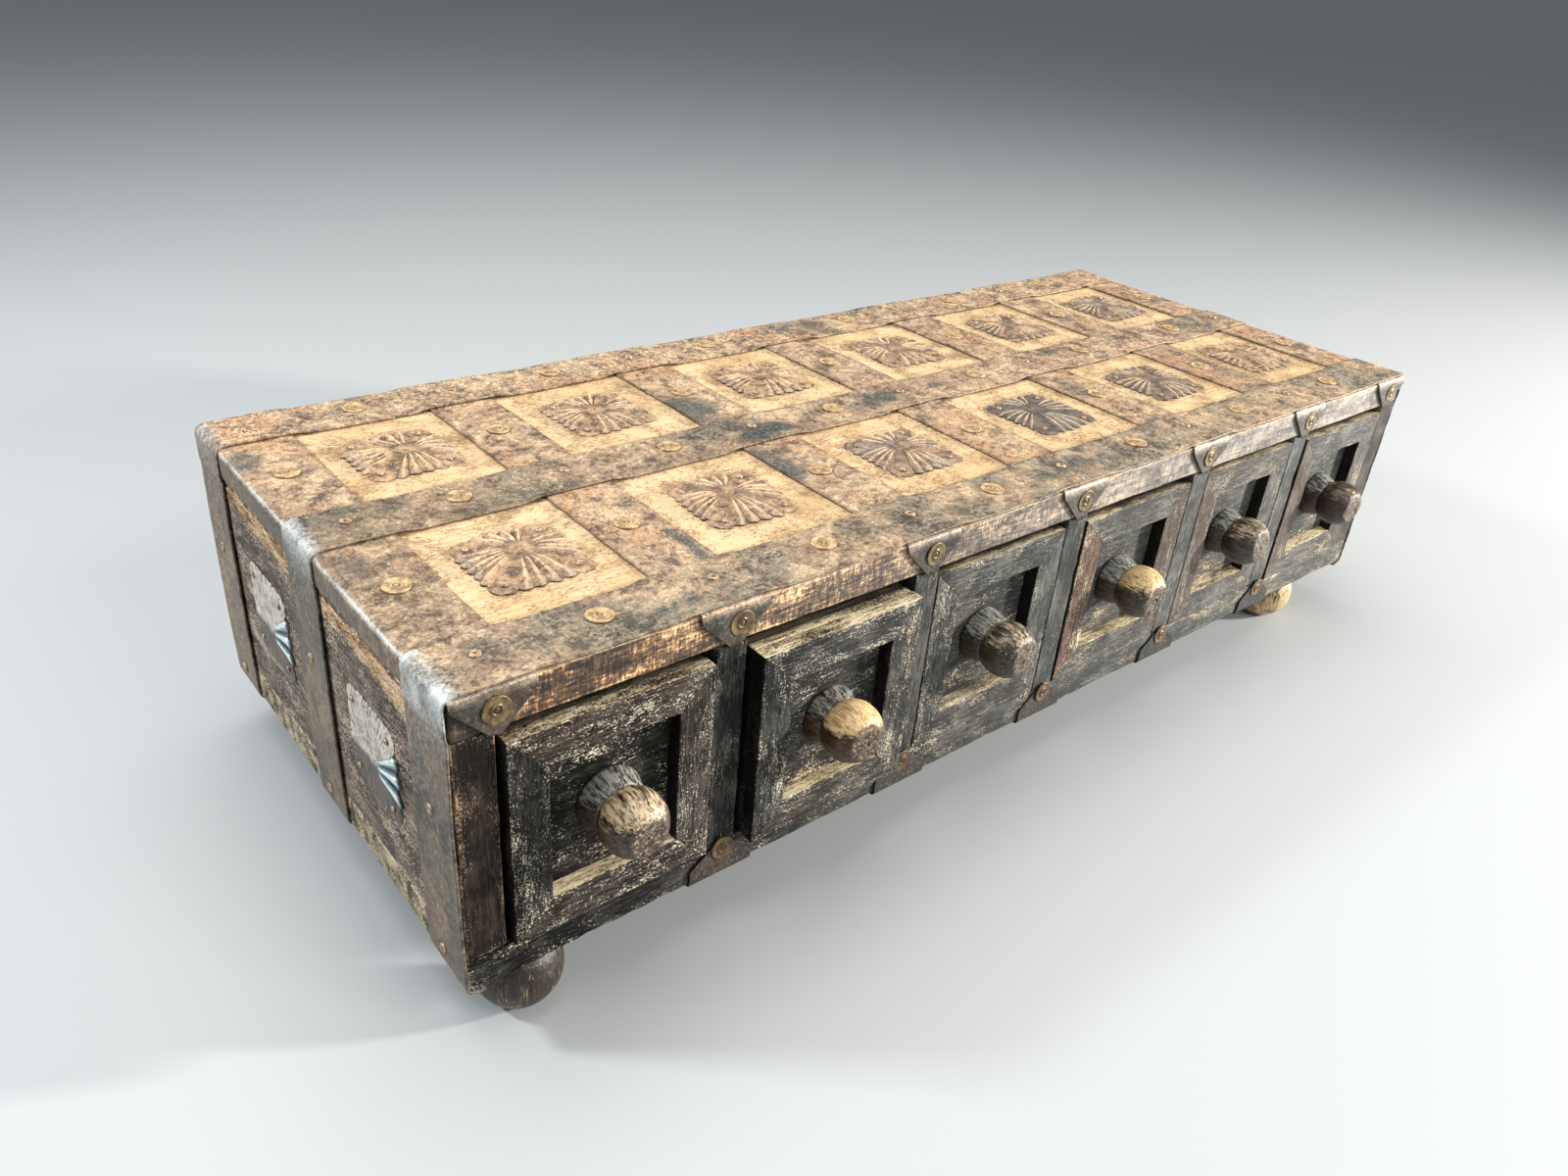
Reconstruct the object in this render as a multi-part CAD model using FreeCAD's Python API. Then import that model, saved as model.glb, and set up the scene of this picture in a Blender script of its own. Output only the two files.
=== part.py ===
"""Low wooden chest with six drawers in one row, bound with nailed sheet metal straps.

X runs along the length, Y from the front to the back, Z up. The origin is on the floor,
in the middle of the whole chest's box, knobs and proud drawers included. Millimetres.
"""
import FreeCAD, Part
import math
import os

VEC = FreeCAD.Vector

# Carcass
BAY_WIDTHS = (85.5, 85.2, 82.5, 84.3, 81.2, 83.8)
BAY_HEIGHT = 93.2
DEPTH = 240.0
TOP_T = 15.6
BOTTOM_T = 15.0
SIDE_T = 15.0
PARTITION_T = 13.5
BACK_T = 12.0

# Drawers, from left to right: how far each stands out of the front, and its room beside
# and above, which differs because each was cut by hand
DRAWERS_OUT = (3.0, 8.0, 0.0, 0.5, 0.0, 0.8)
DRAWER_SIDE_GAPS = (2.0, 2.4, 0.5, 1.3, 0.5, 1.2)
DRAWER_TOP_GAPS = (4.8, 5.6, 4.3, 4.6, 3.4, 4.2)
DRAWER_TRAVEL = 170.0
DRAWER_RUNNING_GAP = 0.4
DRAWER_REAR_GAP = 1.0
FRONT_PANEL_T = 9.0
MOULDING_T = 6.8
MOULDING_W = 15.0
TRAY_SIDE_T = 7.0
TRAY_BACK_T = 7.0
TRAY_BOTTOM_T = 4.0
TRAY_RIM_DROP = 9.0

# Turned knobs, from left to right, with how far each ball's centre stands off its panel
KNOB_BALL_REACHES = (17.0, 14.8, 17.4, 17.0, 15.6, 16.4)
KNOB_BALL_R = 12.7
KNOB_FACET_CUT = 2.4
KNOB_NECK_STEP = 1.9
KNOB_COLLAR_FLARE = 0.8
KNOB_WAIST_STEP = 0.2
KNOB_WAIST_SHARE = 0.6
KNOB_SPIGOT_R = 4.5

# Turned ball feet: the drop from the shell to the ball's centre, insets from the ends and
# setbacks from the front or the back. The front left foot stands nearest the edge.
FOOT_BALL_R = 17.2
FOOT_CENTRE_DROP = 11.2
FOOT_FLAT_CUT = 1.7
FOOT_DOWEL_R = 6.0
FOOT_DOWEL_L = 8.0
LEFT_FEET_INSET = 25.0
RIGHT_FEET_INSET = 56.5
FEET_SETBACK = 17.0
FRONT_LEFT_FOOT_SETBACK = 13.5

# Sheet metal straps
STRAP_T = 0.9
LONG_STRAP_W = 29.5
CROSS_STRAP_W = 30.0
STRAP_RAMP = 6.0
STRAP_EASE = 0.3
STRAP_TUCK = 6.0
END_LIP_DROP = 10.5
TAB_SIDE = 3.0
TAB_TIP_W = 4.0
TAB_TIP_OVERLAP = 0.8
LOW_TAB_SIDE = 7.0
LOW_TAB_TIP_W = 2.0
LOW_TAB_TIP_OVERLAP = 2.0

# Pressed rosettes
ROSETTE_HALF = 20.2
ROSETTE_PLATE_T = 0.8
ROSETTE_LOBE_R = 5.2
ROSETTE_SCALLOP_H = 1.5
ROSETTE_SCALLOPS = 3
ROSETTE_FLUTES = 16
ROSETTE_FLUTE_H = 0.9
ROSETTE_FLUTE_HALF_SHARE = 0.28
ROSETTE_FOCUS = 4.5
ROSETTE_HUB_R = 3.2
ROSETTE_BORDER = 3.0
ROSETTE_NAIL_ROOM = 0.8

# Nails and brass washers
NAIL_HEAD_R = 2.3
NAIL_HEAD_H = 1.0
NAIL_SHANK_R = 0.9
NAIL_L = 12.0
ROSETTE_NAIL_HEAD_R = 1.5
ROSETTE_NAIL_HEAD_H = 0.7
ROSETTE_NAIL_SHANK_R = 0.6
ROSETTE_NAIL_L = 6.0
WASHER_R = 5.2
WASHER_T = 0.8
NAIL_LINE_SETBACK = 2.5
CROSSING_NAIL_SHIFT = 3.0
CELL_WASHER_SHIFTS = (2.0, 6.0, 5.0, 11.0, 4.0, 2.0)
TAB_NAIL_DROP = 7.2
TAB_NAIL_SHIFTS = (0.3, 2.5, 1.0, 0.5, 1.0, 2.0, 2.0)
LOW_TAB_NAIL_RISE = 13.0
END_NAIL_RISES = (8.0, 72.0)

# Places worked out from the sizes above
LENGTH = sum(BAY_WIDTHS) + PARTITION_T * (len(BAY_WIDTHS) - 1) + 2 * SIDE_T
LEFT_X = -LENGTH / 2
RIGHT_X = LENGTH / 2
FOOT_HEIGHT = FOOT_CENTRE_DROP + FOOT_BALL_R - FOOT_FLAT_CUT
SHELL_Z = FOOT_HEIGHT
FLOOR_Z = SHELL_Z + BOTTOM_T
CEILING_Z = FLOOR_Z + BAY_HEIGHT
TOP_Z = CEILING_Z + TOP_T
KNOB_TIPS = [reach + KNOB_BALL_R - KNOB_FACET_CUT for reach in KNOB_BALL_REACHES]
FRONT_REACH = max(tip + out for tip, out in zip(KNOB_TIPS, DRAWERS_OUT)) - MOULDING_T
BACK_REACH = STRAP_T + WASHER_T + NAIL_HEAD_H
FRONT_Y = (FRONT_REACH - BACK_REACH - DEPTH) / 2
BACK_Y = FRONT_Y + DEPTH
BACK_BOARD_Y = BACK_Y - BACK_T


def box(x0, x1, y0, y1, z0, z1):
    """A board from its two corners."""
    return Part.makeBox(x1 - x0, y1 - y0, z1 - z0, VEC(x0, y0, z0))


def prism(points, along):
    """A flat outline of 3-D points pushed along a vector."""
    wire = Part.makePolygon(points + points[:1])
    return Part.Face(wire).extrude(along)


def turned(segments, place, direction):
    """A turned solid: edges in the plane of radius x and height z, spun and set down."""
    face = Part.Face(Part.Wire(segments))
    solid = face.revolve(VEC(0, 0, 0), VEC(0, 0, 1), 360)
    solid.Placement = FreeCAD.Placement(place, FreeCAD.Rotation(VEC(0, 0, 1), direction))
    return solid


def profile_edges(points, arc_tops):
    """Straight edges through (radius, height) points, with an arc after each listed point."""
    edges = []
    loop = points + points[:1]
    for index, (start, end) in enumerate(zip(loop, loop[1:])):
        first = VEC(start[0], 0, start[1])
        last = VEC(end[0], 0, end[1])
        if index in arc_tops:
            middle = VEC(arc_tops[index][0], 0, arc_tops[index][1])
            edges.append(Part.Arc(first, middle, last).toShape())
        else:
            edges.append(Part.LineSegment(first, last).toShape())
    return edges


def offset_path(path, distance):
    """The path moved sideways by a distance, to its left, with mitred corners."""
    normals = []
    for (ax, az), (bx, bz) in zip(path, path[1:]):
        run = math.hypot(bx - ax, bz - az)
        normals.append(((az - bz) / run, (bx - ax) / run))
    moved = []
    for index, (px, pz) in enumerate(path):
        before = normals[max(index - 1, 0)]
        after = normals[min(index, len(normals) - 1)]
        spread = 1 + before[0] * after[0] + before[1] * after[1]
        shift_x = (before[0] + after[0]) / spread
        shift_z = (before[1] + after[1]) / spread
        moved.append((px + distance * shift_x, pz + distance * shift_z))
    return moved


def bays():
    """The left and right wall of each bay."""
    walls = []
    left = LEFT_X + SIDE_T
    for width in BAY_WIDTHS:
        walls.append((left, left + width))
        left += width + PARTITION_T
    return walls


def partition_centres():
    """The middle of each partition."""
    return [right + PARTITION_T / 2 for left, right in bays()[:-1]]


def cross_strap_centres():
    """The middle of each cross strap: both ends and every partition."""
    half = CROSS_STRAP_W / 2
    return [LEFT_X + half] + partition_centres() + [RIGHT_X - half]


def long_strap_centres():
    """The middle of the front, middle and back lengthwise straps."""
    half = LONG_STRAP_W / 2
    return [FRONT_Y + half, (FRONT_Y + BACK_Y) / 2, BACK_Y - half]


def cells():
    """The bare wood between the straps, as the centre of each cell on the top."""
    xs = cross_strap_centres()
    ys = long_strap_centres()
    middles_x = [(a + b) / 2 for a, b in zip(xs, xs[1:])]
    middles_y = [(a + b) / 2 for a, b in zip(ys, ys[1:])]
    return middles_x, middles_y


def carcass_boards():
    """Top, bottom, ends, back and partitions."""
    back = BACK_BOARD_Y
    parts = {
        "top_board": box(LEFT_X, RIGHT_X, FRONT_Y, BACK_Y, CEILING_Z, TOP_Z),
        "bottom_board": box(LEFT_X, RIGHT_X, FRONT_Y, BACK_Y, SHELL_Z, FLOOR_Z),
        "side_left": box(LEFT_X, LEFT_X + SIDE_T, FRONT_Y, BACK_Y, FLOOR_Z, CEILING_Z),
        "side_right": box(RIGHT_X - SIDE_T, RIGHT_X, FRONT_Y, BACK_Y, FLOOR_Z, CEILING_Z),
        "back_board": box(LEFT_X + SIDE_T, RIGHT_X - SIDE_T, back, BACK_Y, FLOOR_Z, CEILING_Z),
    }
    half = PARTITION_T / 2
    for number, x in enumerate(partition_centres(), 1):
        parts[f"partition_{number}"] = box(x - half, x + half, FRONT_Y, back, FLOOR_Z, CEILING_Z)
    return parts


def foot_places():
    """The centre of each foot at the underside of the shell."""
    left_x = LEFT_X + LEFT_FEET_INSET
    right_x = RIGHT_X - RIGHT_FEET_INSET
    return {
        "foot_front_left": (left_x, FRONT_Y + FRONT_LEFT_FOOT_SETBACK),
        "foot_front_right": (right_x, FRONT_Y + FEET_SETBACK),
        "foot_back_left": (left_x, BACK_Y - FEET_SETBACK),
        "foot_back_right": (right_x, BACK_Y - FEET_SETBACK),
    }


def foot(x, y):
    """A turned ball, cut flat where it stands and where it meets the shell, with its dowel."""
    top_r = math.sqrt(FOOT_BALL_R ** 2 - FOOT_CENTRE_DROP ** 2)
    flat_r = math.sqrt(FOOT_BALL_R ** 2 - (FOOT_BALL_R - FOOT_FLAT_CUT) ** 2)
    points = [
        (0, 0),
        (flat_r, 0),
        (top_r, FOOT_HEIGHT),
        (FOOT_DOWEL_R, FOOT_HEIGHT),
        (FOOT_DOWEL_R, FOOT_HEIGHT + FOOT_DOWEL_L),
        (0, FOOT_HEIGHT + FOOT_DOWEL_L),
    ]
    equator = (FOOT_BALL_R, FOOT_BALL_R - FOOT_FLAT_CUT)
    return turned(profile_edges(points, {1: equator}), VEC(x, y, 0), VEC(0, 0, 1))


def dowel_holes():
    """The blind holes in the bottom board that the foot dowels sit in."""
    holes = []
    for x, y in foot_places().values():
        holes.append(Part.makeCylinder(FOOT_DOWEL_R, FOOT_DOWEL_L, VEC(x, y, SHELL_Z)))
    return Part.Compound(holes)


def long_strap_path():
    """The underside of a lengthwise strap: up one end, over the top and down the other."""
    lip_z = TOP_Z - END_LIP_DROP - STRAP_EASE
    path = [(LEFT_X + STRAP_TUCK, SHELL_Z), (LEFT_X, SHELL_Z)]
    path += [(LEFT_X, lip_z - STRAP_RAMP), (LEFT_X - STRAP_T, lip_z)]
    path += [(LEFT_X - STRAP_T, TOP_Z + STRAP_T)]
    half = CROSS_STRAP_W / 2 + STRAP_EASE
    centres = cross_strap_centres()
    for left, right in zip(centres, centres[1:]):
        path += [(left + half, TOP_Z + STRAP_T), (left + half + STRAP_RAMP, TOP_Z)]
        path += [(right - half - STRAP_RAMP, TOP_Z), (right - half, TOP_Z + STRAP_T)]
    path += [(RIGHT_X + STRAP_T, TOP_Z + STRAP_T), (RIGHT_X + STRAP_T, lip_z)]
    path += [(RIGHT_X, lip_z - STRAP_RAMP), (RIGHT_X, SHELL_Z), (RIGHT_X - STRAP_TUCK, SHELL_Z)]
    return path


def long_strap(y):
    """One lengthwise strap, stepping over the cross straps and tucked under both ends."""
    inner = long_strap_path()
    outline = inner + offset_path(inner, STRAP_T)[::-1]
    start = y - LONG_STRAP_W / 2
    return prism([VEC(px, start, pz) for px, pz in outline], VEC(0, LONG_STRAP_W, 0))


def tab_outline(x, side_z, tip_z, far_z, tip_w):
    """The front view of a strap with a tapered tab, pushed right through the depth."""
    half = CROSS_STRAP_W / 2
    points = [
        VEC(x - half, 0, far_z),
        VEC(x - half, 0, side_z),
        VEC(x - tip_w / 2, 0, tip_z),
        VEC(x + tip_w / 2, 0, tip_z),
        VEC(x + half, 0, side_z),
        VEC(x + half, 0, far_z),
    ]
    start = FRONT_Y - 2 * STRAP_T
    moved = [point + VEC(0, start, 0) for point in points]
    return prism(moved, VEC(0, DEPTH + 4 * STRAP_T, 0))


def wrapped_strap(x, wood_z, away, tip_z):
    """A strap across a board's face, folded over its front and back edges."""
    inner = [(FRONT_Y, tip_z), (FRONT_Y, wood_z), (BACK_Y, wood_z), (BACK_Y, tip_z)]
    outline = inner + offset_path(inner, away * STRAP_T)[::-1]
    start = x - CROSS_STRAP_W / 2
    return prism([VEC(start, py, pz) for py, pz in outline], VEC(CROSS_STRAP_W, 0, 0))


def cross_strap(x):
    """A cross strap on the top, with a pointed tab folded down at the front and the back."""
    tip_z = CEILING_Z - TAB_TIP_OVERLAP
    far_z = TOP_Z + 2 * STRAP_T
    band = wrapped_strap(x, TOP_Z, 1, tip_z)
    return band.common(tab_outline(x, TOP_Z - TAB_SIDE, tip_z, far_z, TAB_TIP_W))


def end_lip(x_inner, x_outer):
    """The lip of an end cross strap, folded part way down the top board's end."""
    low = min(x_inner, x_outer)
    high = max(x_inner, x_outer)
    front = FRONT_Y + STRAP_EASE
    back = BACK_Y - STRAP_EASE
    return box(low, high, front, back, TOP_Z - END_LIP_DROP, TOP_Z + STRAP_T)


def cross_straps():
    """All cross straps, the end ones with their lips."""
    centres = cross_strap_centres()
    parts = {}
    for number, x in enumerate(centres, 1):
        strap = cross_strap(x)
        if number == 1:
            strap = strap.fuse(end_lip(LEFT_X, LEFT_X - STRAP_T)).removeSplitter()
        if number == len(centres):
            strap = strap.fuse(end_lip(RIGHT_X, RIGHT_X + STRAP_T)).removeSplitter()
        parts[f"cross_strap_{number}"] = strap
    return parts


def underside_strap(x):
    """A strap under the bottom board, with a pointed tab folded up at the front and back."""
    tip_z = FLOOR_Z + LOW_TAB_TIP_OVERLAP
    far_z = SHELL_Z - 2 * STRAP_T
    band = wrapped_strap(x, SHELL_Z, -1, tip_z)
    return band.common(tab_outline(x, SHELL_Z + LOW_TAB_SIDE, tip_z, far_z, LOW_TAB_TIP_W))


def scalloped_outline():
    """The rosette's edge: a round lobe at each corner and scallops along each side."""
    reach = ROSETTE_HALF - 2 * ROSETTE_LOBE_R + ROSETTE_SCALLOP_H
    corner = ROSETTE_HALF - ROSETTE_LOBE_R + ROSETTE_LOBE_R * math.sqrt(0.5)
    edges = []
    for side in range(4):
        turn = FreeCAD.Rotation(VEC(0, 0, 1), 90 * side)
        width = 2 * reach / ROSETTE_SCALLOPS
        for step in range(ROSETTE_SCALLOPS):
            start = -reach + width * step
            arc = [
                VEC(start, -ROSETTE_HALF, 0),
                VEC(start + width / 2, -ROSETTE_HALF - ROSETTE_SCALLOP_H, 0),
                VEC(start + width, -ROSETTE_HALF, 0),
            ]
            edges.append(Part.Arc(*[turn.multVec(point) for point in arc]).toShape())
        lobe = [
            VEC(reach, -ROSETTE_HALF, 0),
            VEC(corner, -corner, 0),
            VEC(ROSETTE_HALF, -reach, 0),
        ]
        edges.append(Part.Arc(*[turn.multVec(point) for point in lobe]).toShape())
    return Part.Face(Part.Wire(edges))


def flute_star():
    """The raised flutes: rays from a focus above the middle, short upwards and long down."""
    inside = ROSETTE_HALF - ROSETTE_BORDER
    step = 2 * math.pi / ROSETTE_FLUTES
    half = ROSETTE_FLUTE_HALF_SHARE
    points = []
    for ray in range(ROSETTE_FLUTES):
        for turn, at_rim in ((-0.5, False), (-half, True), (half, True)):
            angle = step * (ray + turn)
            across = math.cos(angle)
            up = math.sin(angle)
            if at_rim:
                to_side = inside / max(abs(across), 1e-6)
                to_edge = (inside - math.copysign(ROSETTE_FOCUS, up)) / max(abs(up), 1e-6)
                reach = min(to_side, to_edge)
            else:
                reach = ROSETTE_HUB_R
            points.append(VEC(reach * across, ROSETTE_FOCUS + reach * up, ROSETTE_PLATE_T))
    return prism(points, VEC(0, 0, ROSETTE_FLUTE_H))


def rosette_nail_spots():
    """The four corner lobes, where a rosette is nailed."""
    lobe = ROSETTE_HALF - ROSETTE_LOBE_R
    return [(u, v) for u in (-lobe, lobe) for v in (-lobe, lobe)]


def rosette():
    """One pressed square rosette lying flat, its back at z = 0, with four nail holes."""
    plate = scalloped_outline().extrude(VEC(0, 0, ROSETTE_PLATE_T))
    head_room = ROSETTE_NAIL_HEAD_R + ROSETTE_NAIL_ROOM
    seats = []
    holes = []
    for u, v in rosette_nail_spots():
        seat = VEC(u, v, ROSETTE_PLATE_T)
        seats.append(Part.makeCylinder(head_room, ROSETTE_FLUTE_H, seat))
        holes.append(Part.makeCylinder(ROSETTE_NAIL_SHANK_R, ROSETTE_PLATE_T, VEC(u, v, 0)))
    flutes = flute_star().cut(Part.Compound(seats))
    return plate.fuse(flutes).removeSplitter().cut(Part.Compound(holes))


def frame_rotation(right, up, out):
    """The rotation that takes x, y and z to these three directions."""
    matrix = FreeCAD.Matrix()
    matrix.A11, matrix.A21, matrix.A31 = right
    matrix.A12, matrix.A22, matrix.A32 = up
    matrix.A13, matrix.A23, matrix.A33 = out
    return FreeCAD.Placement(matrix).Rotation


def rosette_places():
    """Where each rosette lies, as its placement, on the top and on the two ends."""
    middles_x, middles_y = cells()
    flat = FreeCAD.Rotation()
    top = [FreeCAD.Placement(VEC(x, y, TOP_Z), flat) for y in middles_y for x in middles_x]
    middle_z = (FLOOR_Z + CEILING_Z) / 2
    to_left = frame_rotation((0, -1, 0), (0, 0, 1), (-1, 0, 0))
    to_right = frame_rotation((0, 1, 0), (0, 0, 1), (1, 0, 0))
    ends = [FreeCAD.Placement(VEC(LEFT_X, y, middle_z), to_left) for y in middles_y]
    ends += [FreeCAD.Placement(VEC(RIGHT_X, y, middle_z), to_right) for y in middles_y]
    return top, ends


def washered_spots():
    """Each place with a brass washer, as its point on the metal and the way it faces."""
    middles_x, middles_y = cells()
    front = VEC(0, -1, 0)
    back = VEC(0, 1, 0)
    up = VEC(0, 0, 1)
    spots = []
    for x, shift in zip(cross_strap_centres(), TAB_NAIL_SHIFTS):
        for y in middles_y:
            spots.append((VEC(x, y + NAIL_LINE_SETBACK, TOP_Z + STRAP_T), up))
        high_z = TOP_Z - TAB_NAIL_DROP
        spots.append((VEC(x + shift, FRONT_Y - STRAP_T, high_z), front))
        spots.append((VEC(x + shift, BACK_Y + STRAP_T, high_z), back))
    for x in partition_centres():
        low_z = SHELL_Z + LOW_TAB_NAIL_RISE
        spots.append((VEC(x, FRONT_Y - STRAP_T, low_z), front))
        spots.append((VEC(x, BACK_Y + STRAP_T, low_z), back))
    for y in long_strap_centres():
        for x, shift in zip(middles_x, CELL_WASHER_SHIFTS):
            spots.append((VEC(x + shift, y + NAIL_LINE_SETBACK, TOP_Z + STRAP_T), up))
    return spots


def plain_nail_spots():
    """Each strap nail without a washer, as its point on the metal and the way it faces."""
    spots = []
    for y in long_strap_centres():
        for x in cross_strap_centres():
            place = VEC(x + CROSSING_NAIL_SHIFT, y + NAIL_LINE_SETBACK, TOP_Z + 2 * STRAP_T)
            spots.append((place, VEC(0, 0, 1)))
        for rise in END_NAIL_RISES:
            z = SHELL_Z + rise
            spots.append((VEC(LEFT_X - STRAP_T, y + NAIL_LINE_SETBACK, z), VEC(-1, 0, 0)))
            spots.append((VEC(RIGHT_X + STRAP_T, y + NAIL_LINE_SETBACK, z), VEC(1, 0, 0)))
    return spots


def rosette_nail_places():
    """Each rosette nail, as its point on the pressed plate and the way it faces."""
    top, ends = rosette_places()
    spots = []
    for place in top + ends:
        out = place.Rotation.multVec(VEC(0, 0, 1))
        for u, v in rosette_nail_spots():
            spots.append((place.multVec(VEC(u, v, ROSETTE_PLATE_T)), out))
    return spots


def nail(place, out, head_r, head_h, shank_r, length):
    """A nail with a low domed head, its shank running back from the place."""
    points = [(0, -length), (shank_r, -length), (shank_r, 0), (head_r, 0), (0, head_h)]
    lean = (head_r ** 2 - head_h ** 2) / (2 * head_h)
    ball = head_h + lean
    half_angle = math.atan2(head_r, lean) / 2
    crown = (ball * math.sin(half_angle), ball * math.cos(half_angle) - lean)
    return turned(profile_edges(points, {3: crown}), place, out)


def washer(place, out):
    """A round flat washer standing on the metal, with the nail's hole through it."""
    outer = Part.makeCylinder(WASHER_R, WASHER_T, place, out)
    return outer.cut(Part.makeCylinder(NAIL_SHANK_R, WASHER_T, place, out))


def fasteners():
    """The nails, the washers, and the shanks that cut the holes in what they hold."""
    nails = []
    washers = []
    shanks = []
    for place, out in washered_spots():
        washers.append(washer(place, out))
        head = place + out * WASHER_T
        nails.append(nail(head, out, NAIL_HEAD_R, NAIL_HEAD_H, NAIL_SHANK_R, NAIL_L))
        shanks.append(Part.makeCylinder(NAIL_SHANK_R, NAIL_L, head, out * -1))
    for place, out in plain_nail_spots():
        nails.append(nail(place, out, NAIL_HEAD_R, NAIL_HEAD_H, NAIL_SHANK_R, NAIL_L))
        shanks.append(Part.makeCylinder(NAIL_SHANK_R, NAIL_L, place, out * -1))
    for place, out in rosette_nail_places():
        sizes = (ROSETTE_NAIL_HEAD_R, ROSETTE_NAIL_HEAD_H, ROSETTE_NAIL_SHANK_R, ROSETTE_NAIL_L)
        nails.append(nail(place, out, *sizes))
        shanks.append(Part.makeCylinder(ROSETTE_NAIL_SHANK_R, ROSETTE_NAIL_L, place, out * -1))
    return nails, washers, shanks


def drilled(shape, shanks):
    """The shape with a hole for each shank that reaches into it."""
    near = [shank for shank in shanks if shape.BoundBox.intersect(shank.BoundBox)]
    return shape.cut(Part.Compound(near)) if near else shape


def tray_depths(out):
    """Where the panel's face and back, and the tray's end, lie for a drawer pulled out so far."""
    face = FRONT_Y + MOULDING_T - out
    return face, face + FRONT_PANEL_T, BACK_BOARD_Y - DRAWER_REAR_GAP - out


def moulding(left, right, low, high, face):
    """Four flat mouldings, mitred at the corners, on the face of a drawer's panel."""
    inner_left = left + MOULDING_W
    inner_right = right - MOULDING_W
    inner_low = low + MOULDING_W
    inner_high = high - MOULDING_W
    outlines = [
        [(left, high), (right, high), (inner_right, inner_high), (inner_left, inner_high)],
        [(left, low), (right, low), (inner_right, inner_low), (inner_left, inner_low)],
        [(left, low), (left, high), (inner_left, inner_high), (inner_left, inner_low)],
        [(right, low), (right, high), (inner_right, inner_high), (inner_right, inner_low)],
    ]
    solids = []
    for outline in outlines:
        points = [VEC(x, face, z) for x, z in outline]
        solids.append(prism(points, VEC(0, -MOULDING_T, 0)))
    return Part.Compound(solids)


def knob(place, reach, tip):
    """A turned knob: spigot through the panel, flared collar and a ball with a worn facet."""
    neck_r = KNOB_BALL_R - KNOB_NECK_STEP
    collar_r = neck_r + KNOB_COLLAR_FLARE
    neck_at = reach - math.sqrt(KNOB_BALL_R ** 2 - neck_r ** 2)
    facet_r = math.sqrt(KNOB_BALL_R ** 2 - (KNOB_BALL_R - KNOB_FACET_CUT) ** 2)
    points = [
        (0, -FRONT_PANEL_T),
        (KNOB_SPIGOT_R, -FRONT_PANEL_T),
        (KNOB_SPIGOT_R, 0),
        (collar_r, 0),
        (neck_r, neck_at),
        (facet_r, tip),
        (0, tip),
    ]
    waist = (neck_r - KNOB_WAIST_STEP, neck_at * KNOB_WAIST_SHARE)
    equator = (KNOB_BALL_R, reach)
    return turned(profile_edges(points, {3: waist, 4: equator}), place, VEC(0, -1, 0))


def drawer(index):
    """One drawer: panel, mouldings, tray, bottom and knob, pulled out by its rest amount."""
    wall_left, wall_right = bays()[index]
    left = wall_left + DRAWER_SIDE_GAPS[index]
    right = wall_right - DRAWER_SIDE_GAPS[index]
    low = FLOOR_Z + DRAWER_RUNNING_GAP
    high = CEILING_Z - DRAWER_TOP_GAPS[index]
    out = DRAWERS_OUT[index]
    face, panel_back, tray_end = tray_depths(out)
    middle = VEC((left + right) / 2, face, (low + high) / 2)
    spigot = Part.makeCylinder(KNOB_SPIGOT_R, FRONT_PANEL_T, middle, VEC(0, 1, 0))
    floor = low + TRAY_BOTTOM_T
    rim = high - TRAY_RIM_DROP
    back_start = tray_end - TRAY_BACK_T
    tray = [
        box(left, left + TRAY_SIDE_T, panel_back, tray_end, floor, rim),
        box(right - TRAY_SIDE_T, right, panel_back, tray_end, floor, rim),
        box(left + TRAY_SIDE_T, right - TRAY_SIDE_T, back_start, tray_end, floor, rim),
    ]
    inside = [
        (left + TRAY_SIDE_T, right - TRAY_SIDE_T),
        (panel_back, back_start),
        (floor, rim),
    ]
    name = f"drawer_{index + 1}"
    print(name, "inside", inside, "range", (-out, DRAWER_TRAVEL - out))
    return {
        f"{name}_front_panel": box(left, right, face, panel_back, low, high).cut(spigot),
        f"{name}_moulding": moulding(left, right, low, high, face),
        f"{name}_tray": Part.Compound(tray),
        f"{name}_bottom": box(left, right, panel_back, tray_end, low, floor),
        f"{name}_knob": knob(middle, KNOB_BALL_REACHES[index], KNOB_TIPS[index]),
    }


def build():
    """Every piece by its node's name."""
    nails, washers, shanks = fasteners()
    parts = carcass_boards()
    parts["bottom_board"] = parts["bottom_board"].cut(dowel_holes())
    for name, y in zip(("front", "middle", "back"), long_strap_centres()):
        parts[f"long_strap_{name}"] = long_strap(y)
    parts.update(cross_straps())
    for name in list(parts):
        parts[name] = drilled(parts[name], shanks)
    low_straps = [drilled(underside_strap(x), shanks) for x in partition_centres()]
    parts["underside_straps"] = Part.Compound(low_straps)
    for name, (x, y) in foot_places().items():
        parts[name] = foot(x, y)
        print(name, "stands at", (round(x, 3), round(y, 3), 0))
    top_places, end_places = rosette_places()
    plain = rosette()
    for name, places in (("top_rosettes", top_places), ("end_rosettes", end_places)):
        copies = [plain.transformed(place.toMatrix(), copy=True) for place in places]
        parts[name] = Part.Compound(copies)
    parts["brass_washers"] = Part.Compound(washers)
    parts["nails"] = Part.Compound(nails)
    for index in range(len(BAY_WIDTHS)):
        parts.update(drawer(index))
    return parts


os.makedirs("parts", exist_ok=True)
for node, shape in build().items():
    solids = len(shape.Solids)
    if solids == 0 or not shape.isValid():
        raise ValueError(f"{node} is not a valid solid")
    shape.exportStep(f"parts/{node}.step")
    print(node, solids, "solids", round(shape.Volume, 1), "mm3")
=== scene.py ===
"""Looks for a low wooden chest with six drawers, bound with nailed sheet iron straps.

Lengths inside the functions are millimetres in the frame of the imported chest: X along the
length, Y from the front to the back, Z up. They become metres where a mesh is made.
"""
import itertools
import math

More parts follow.
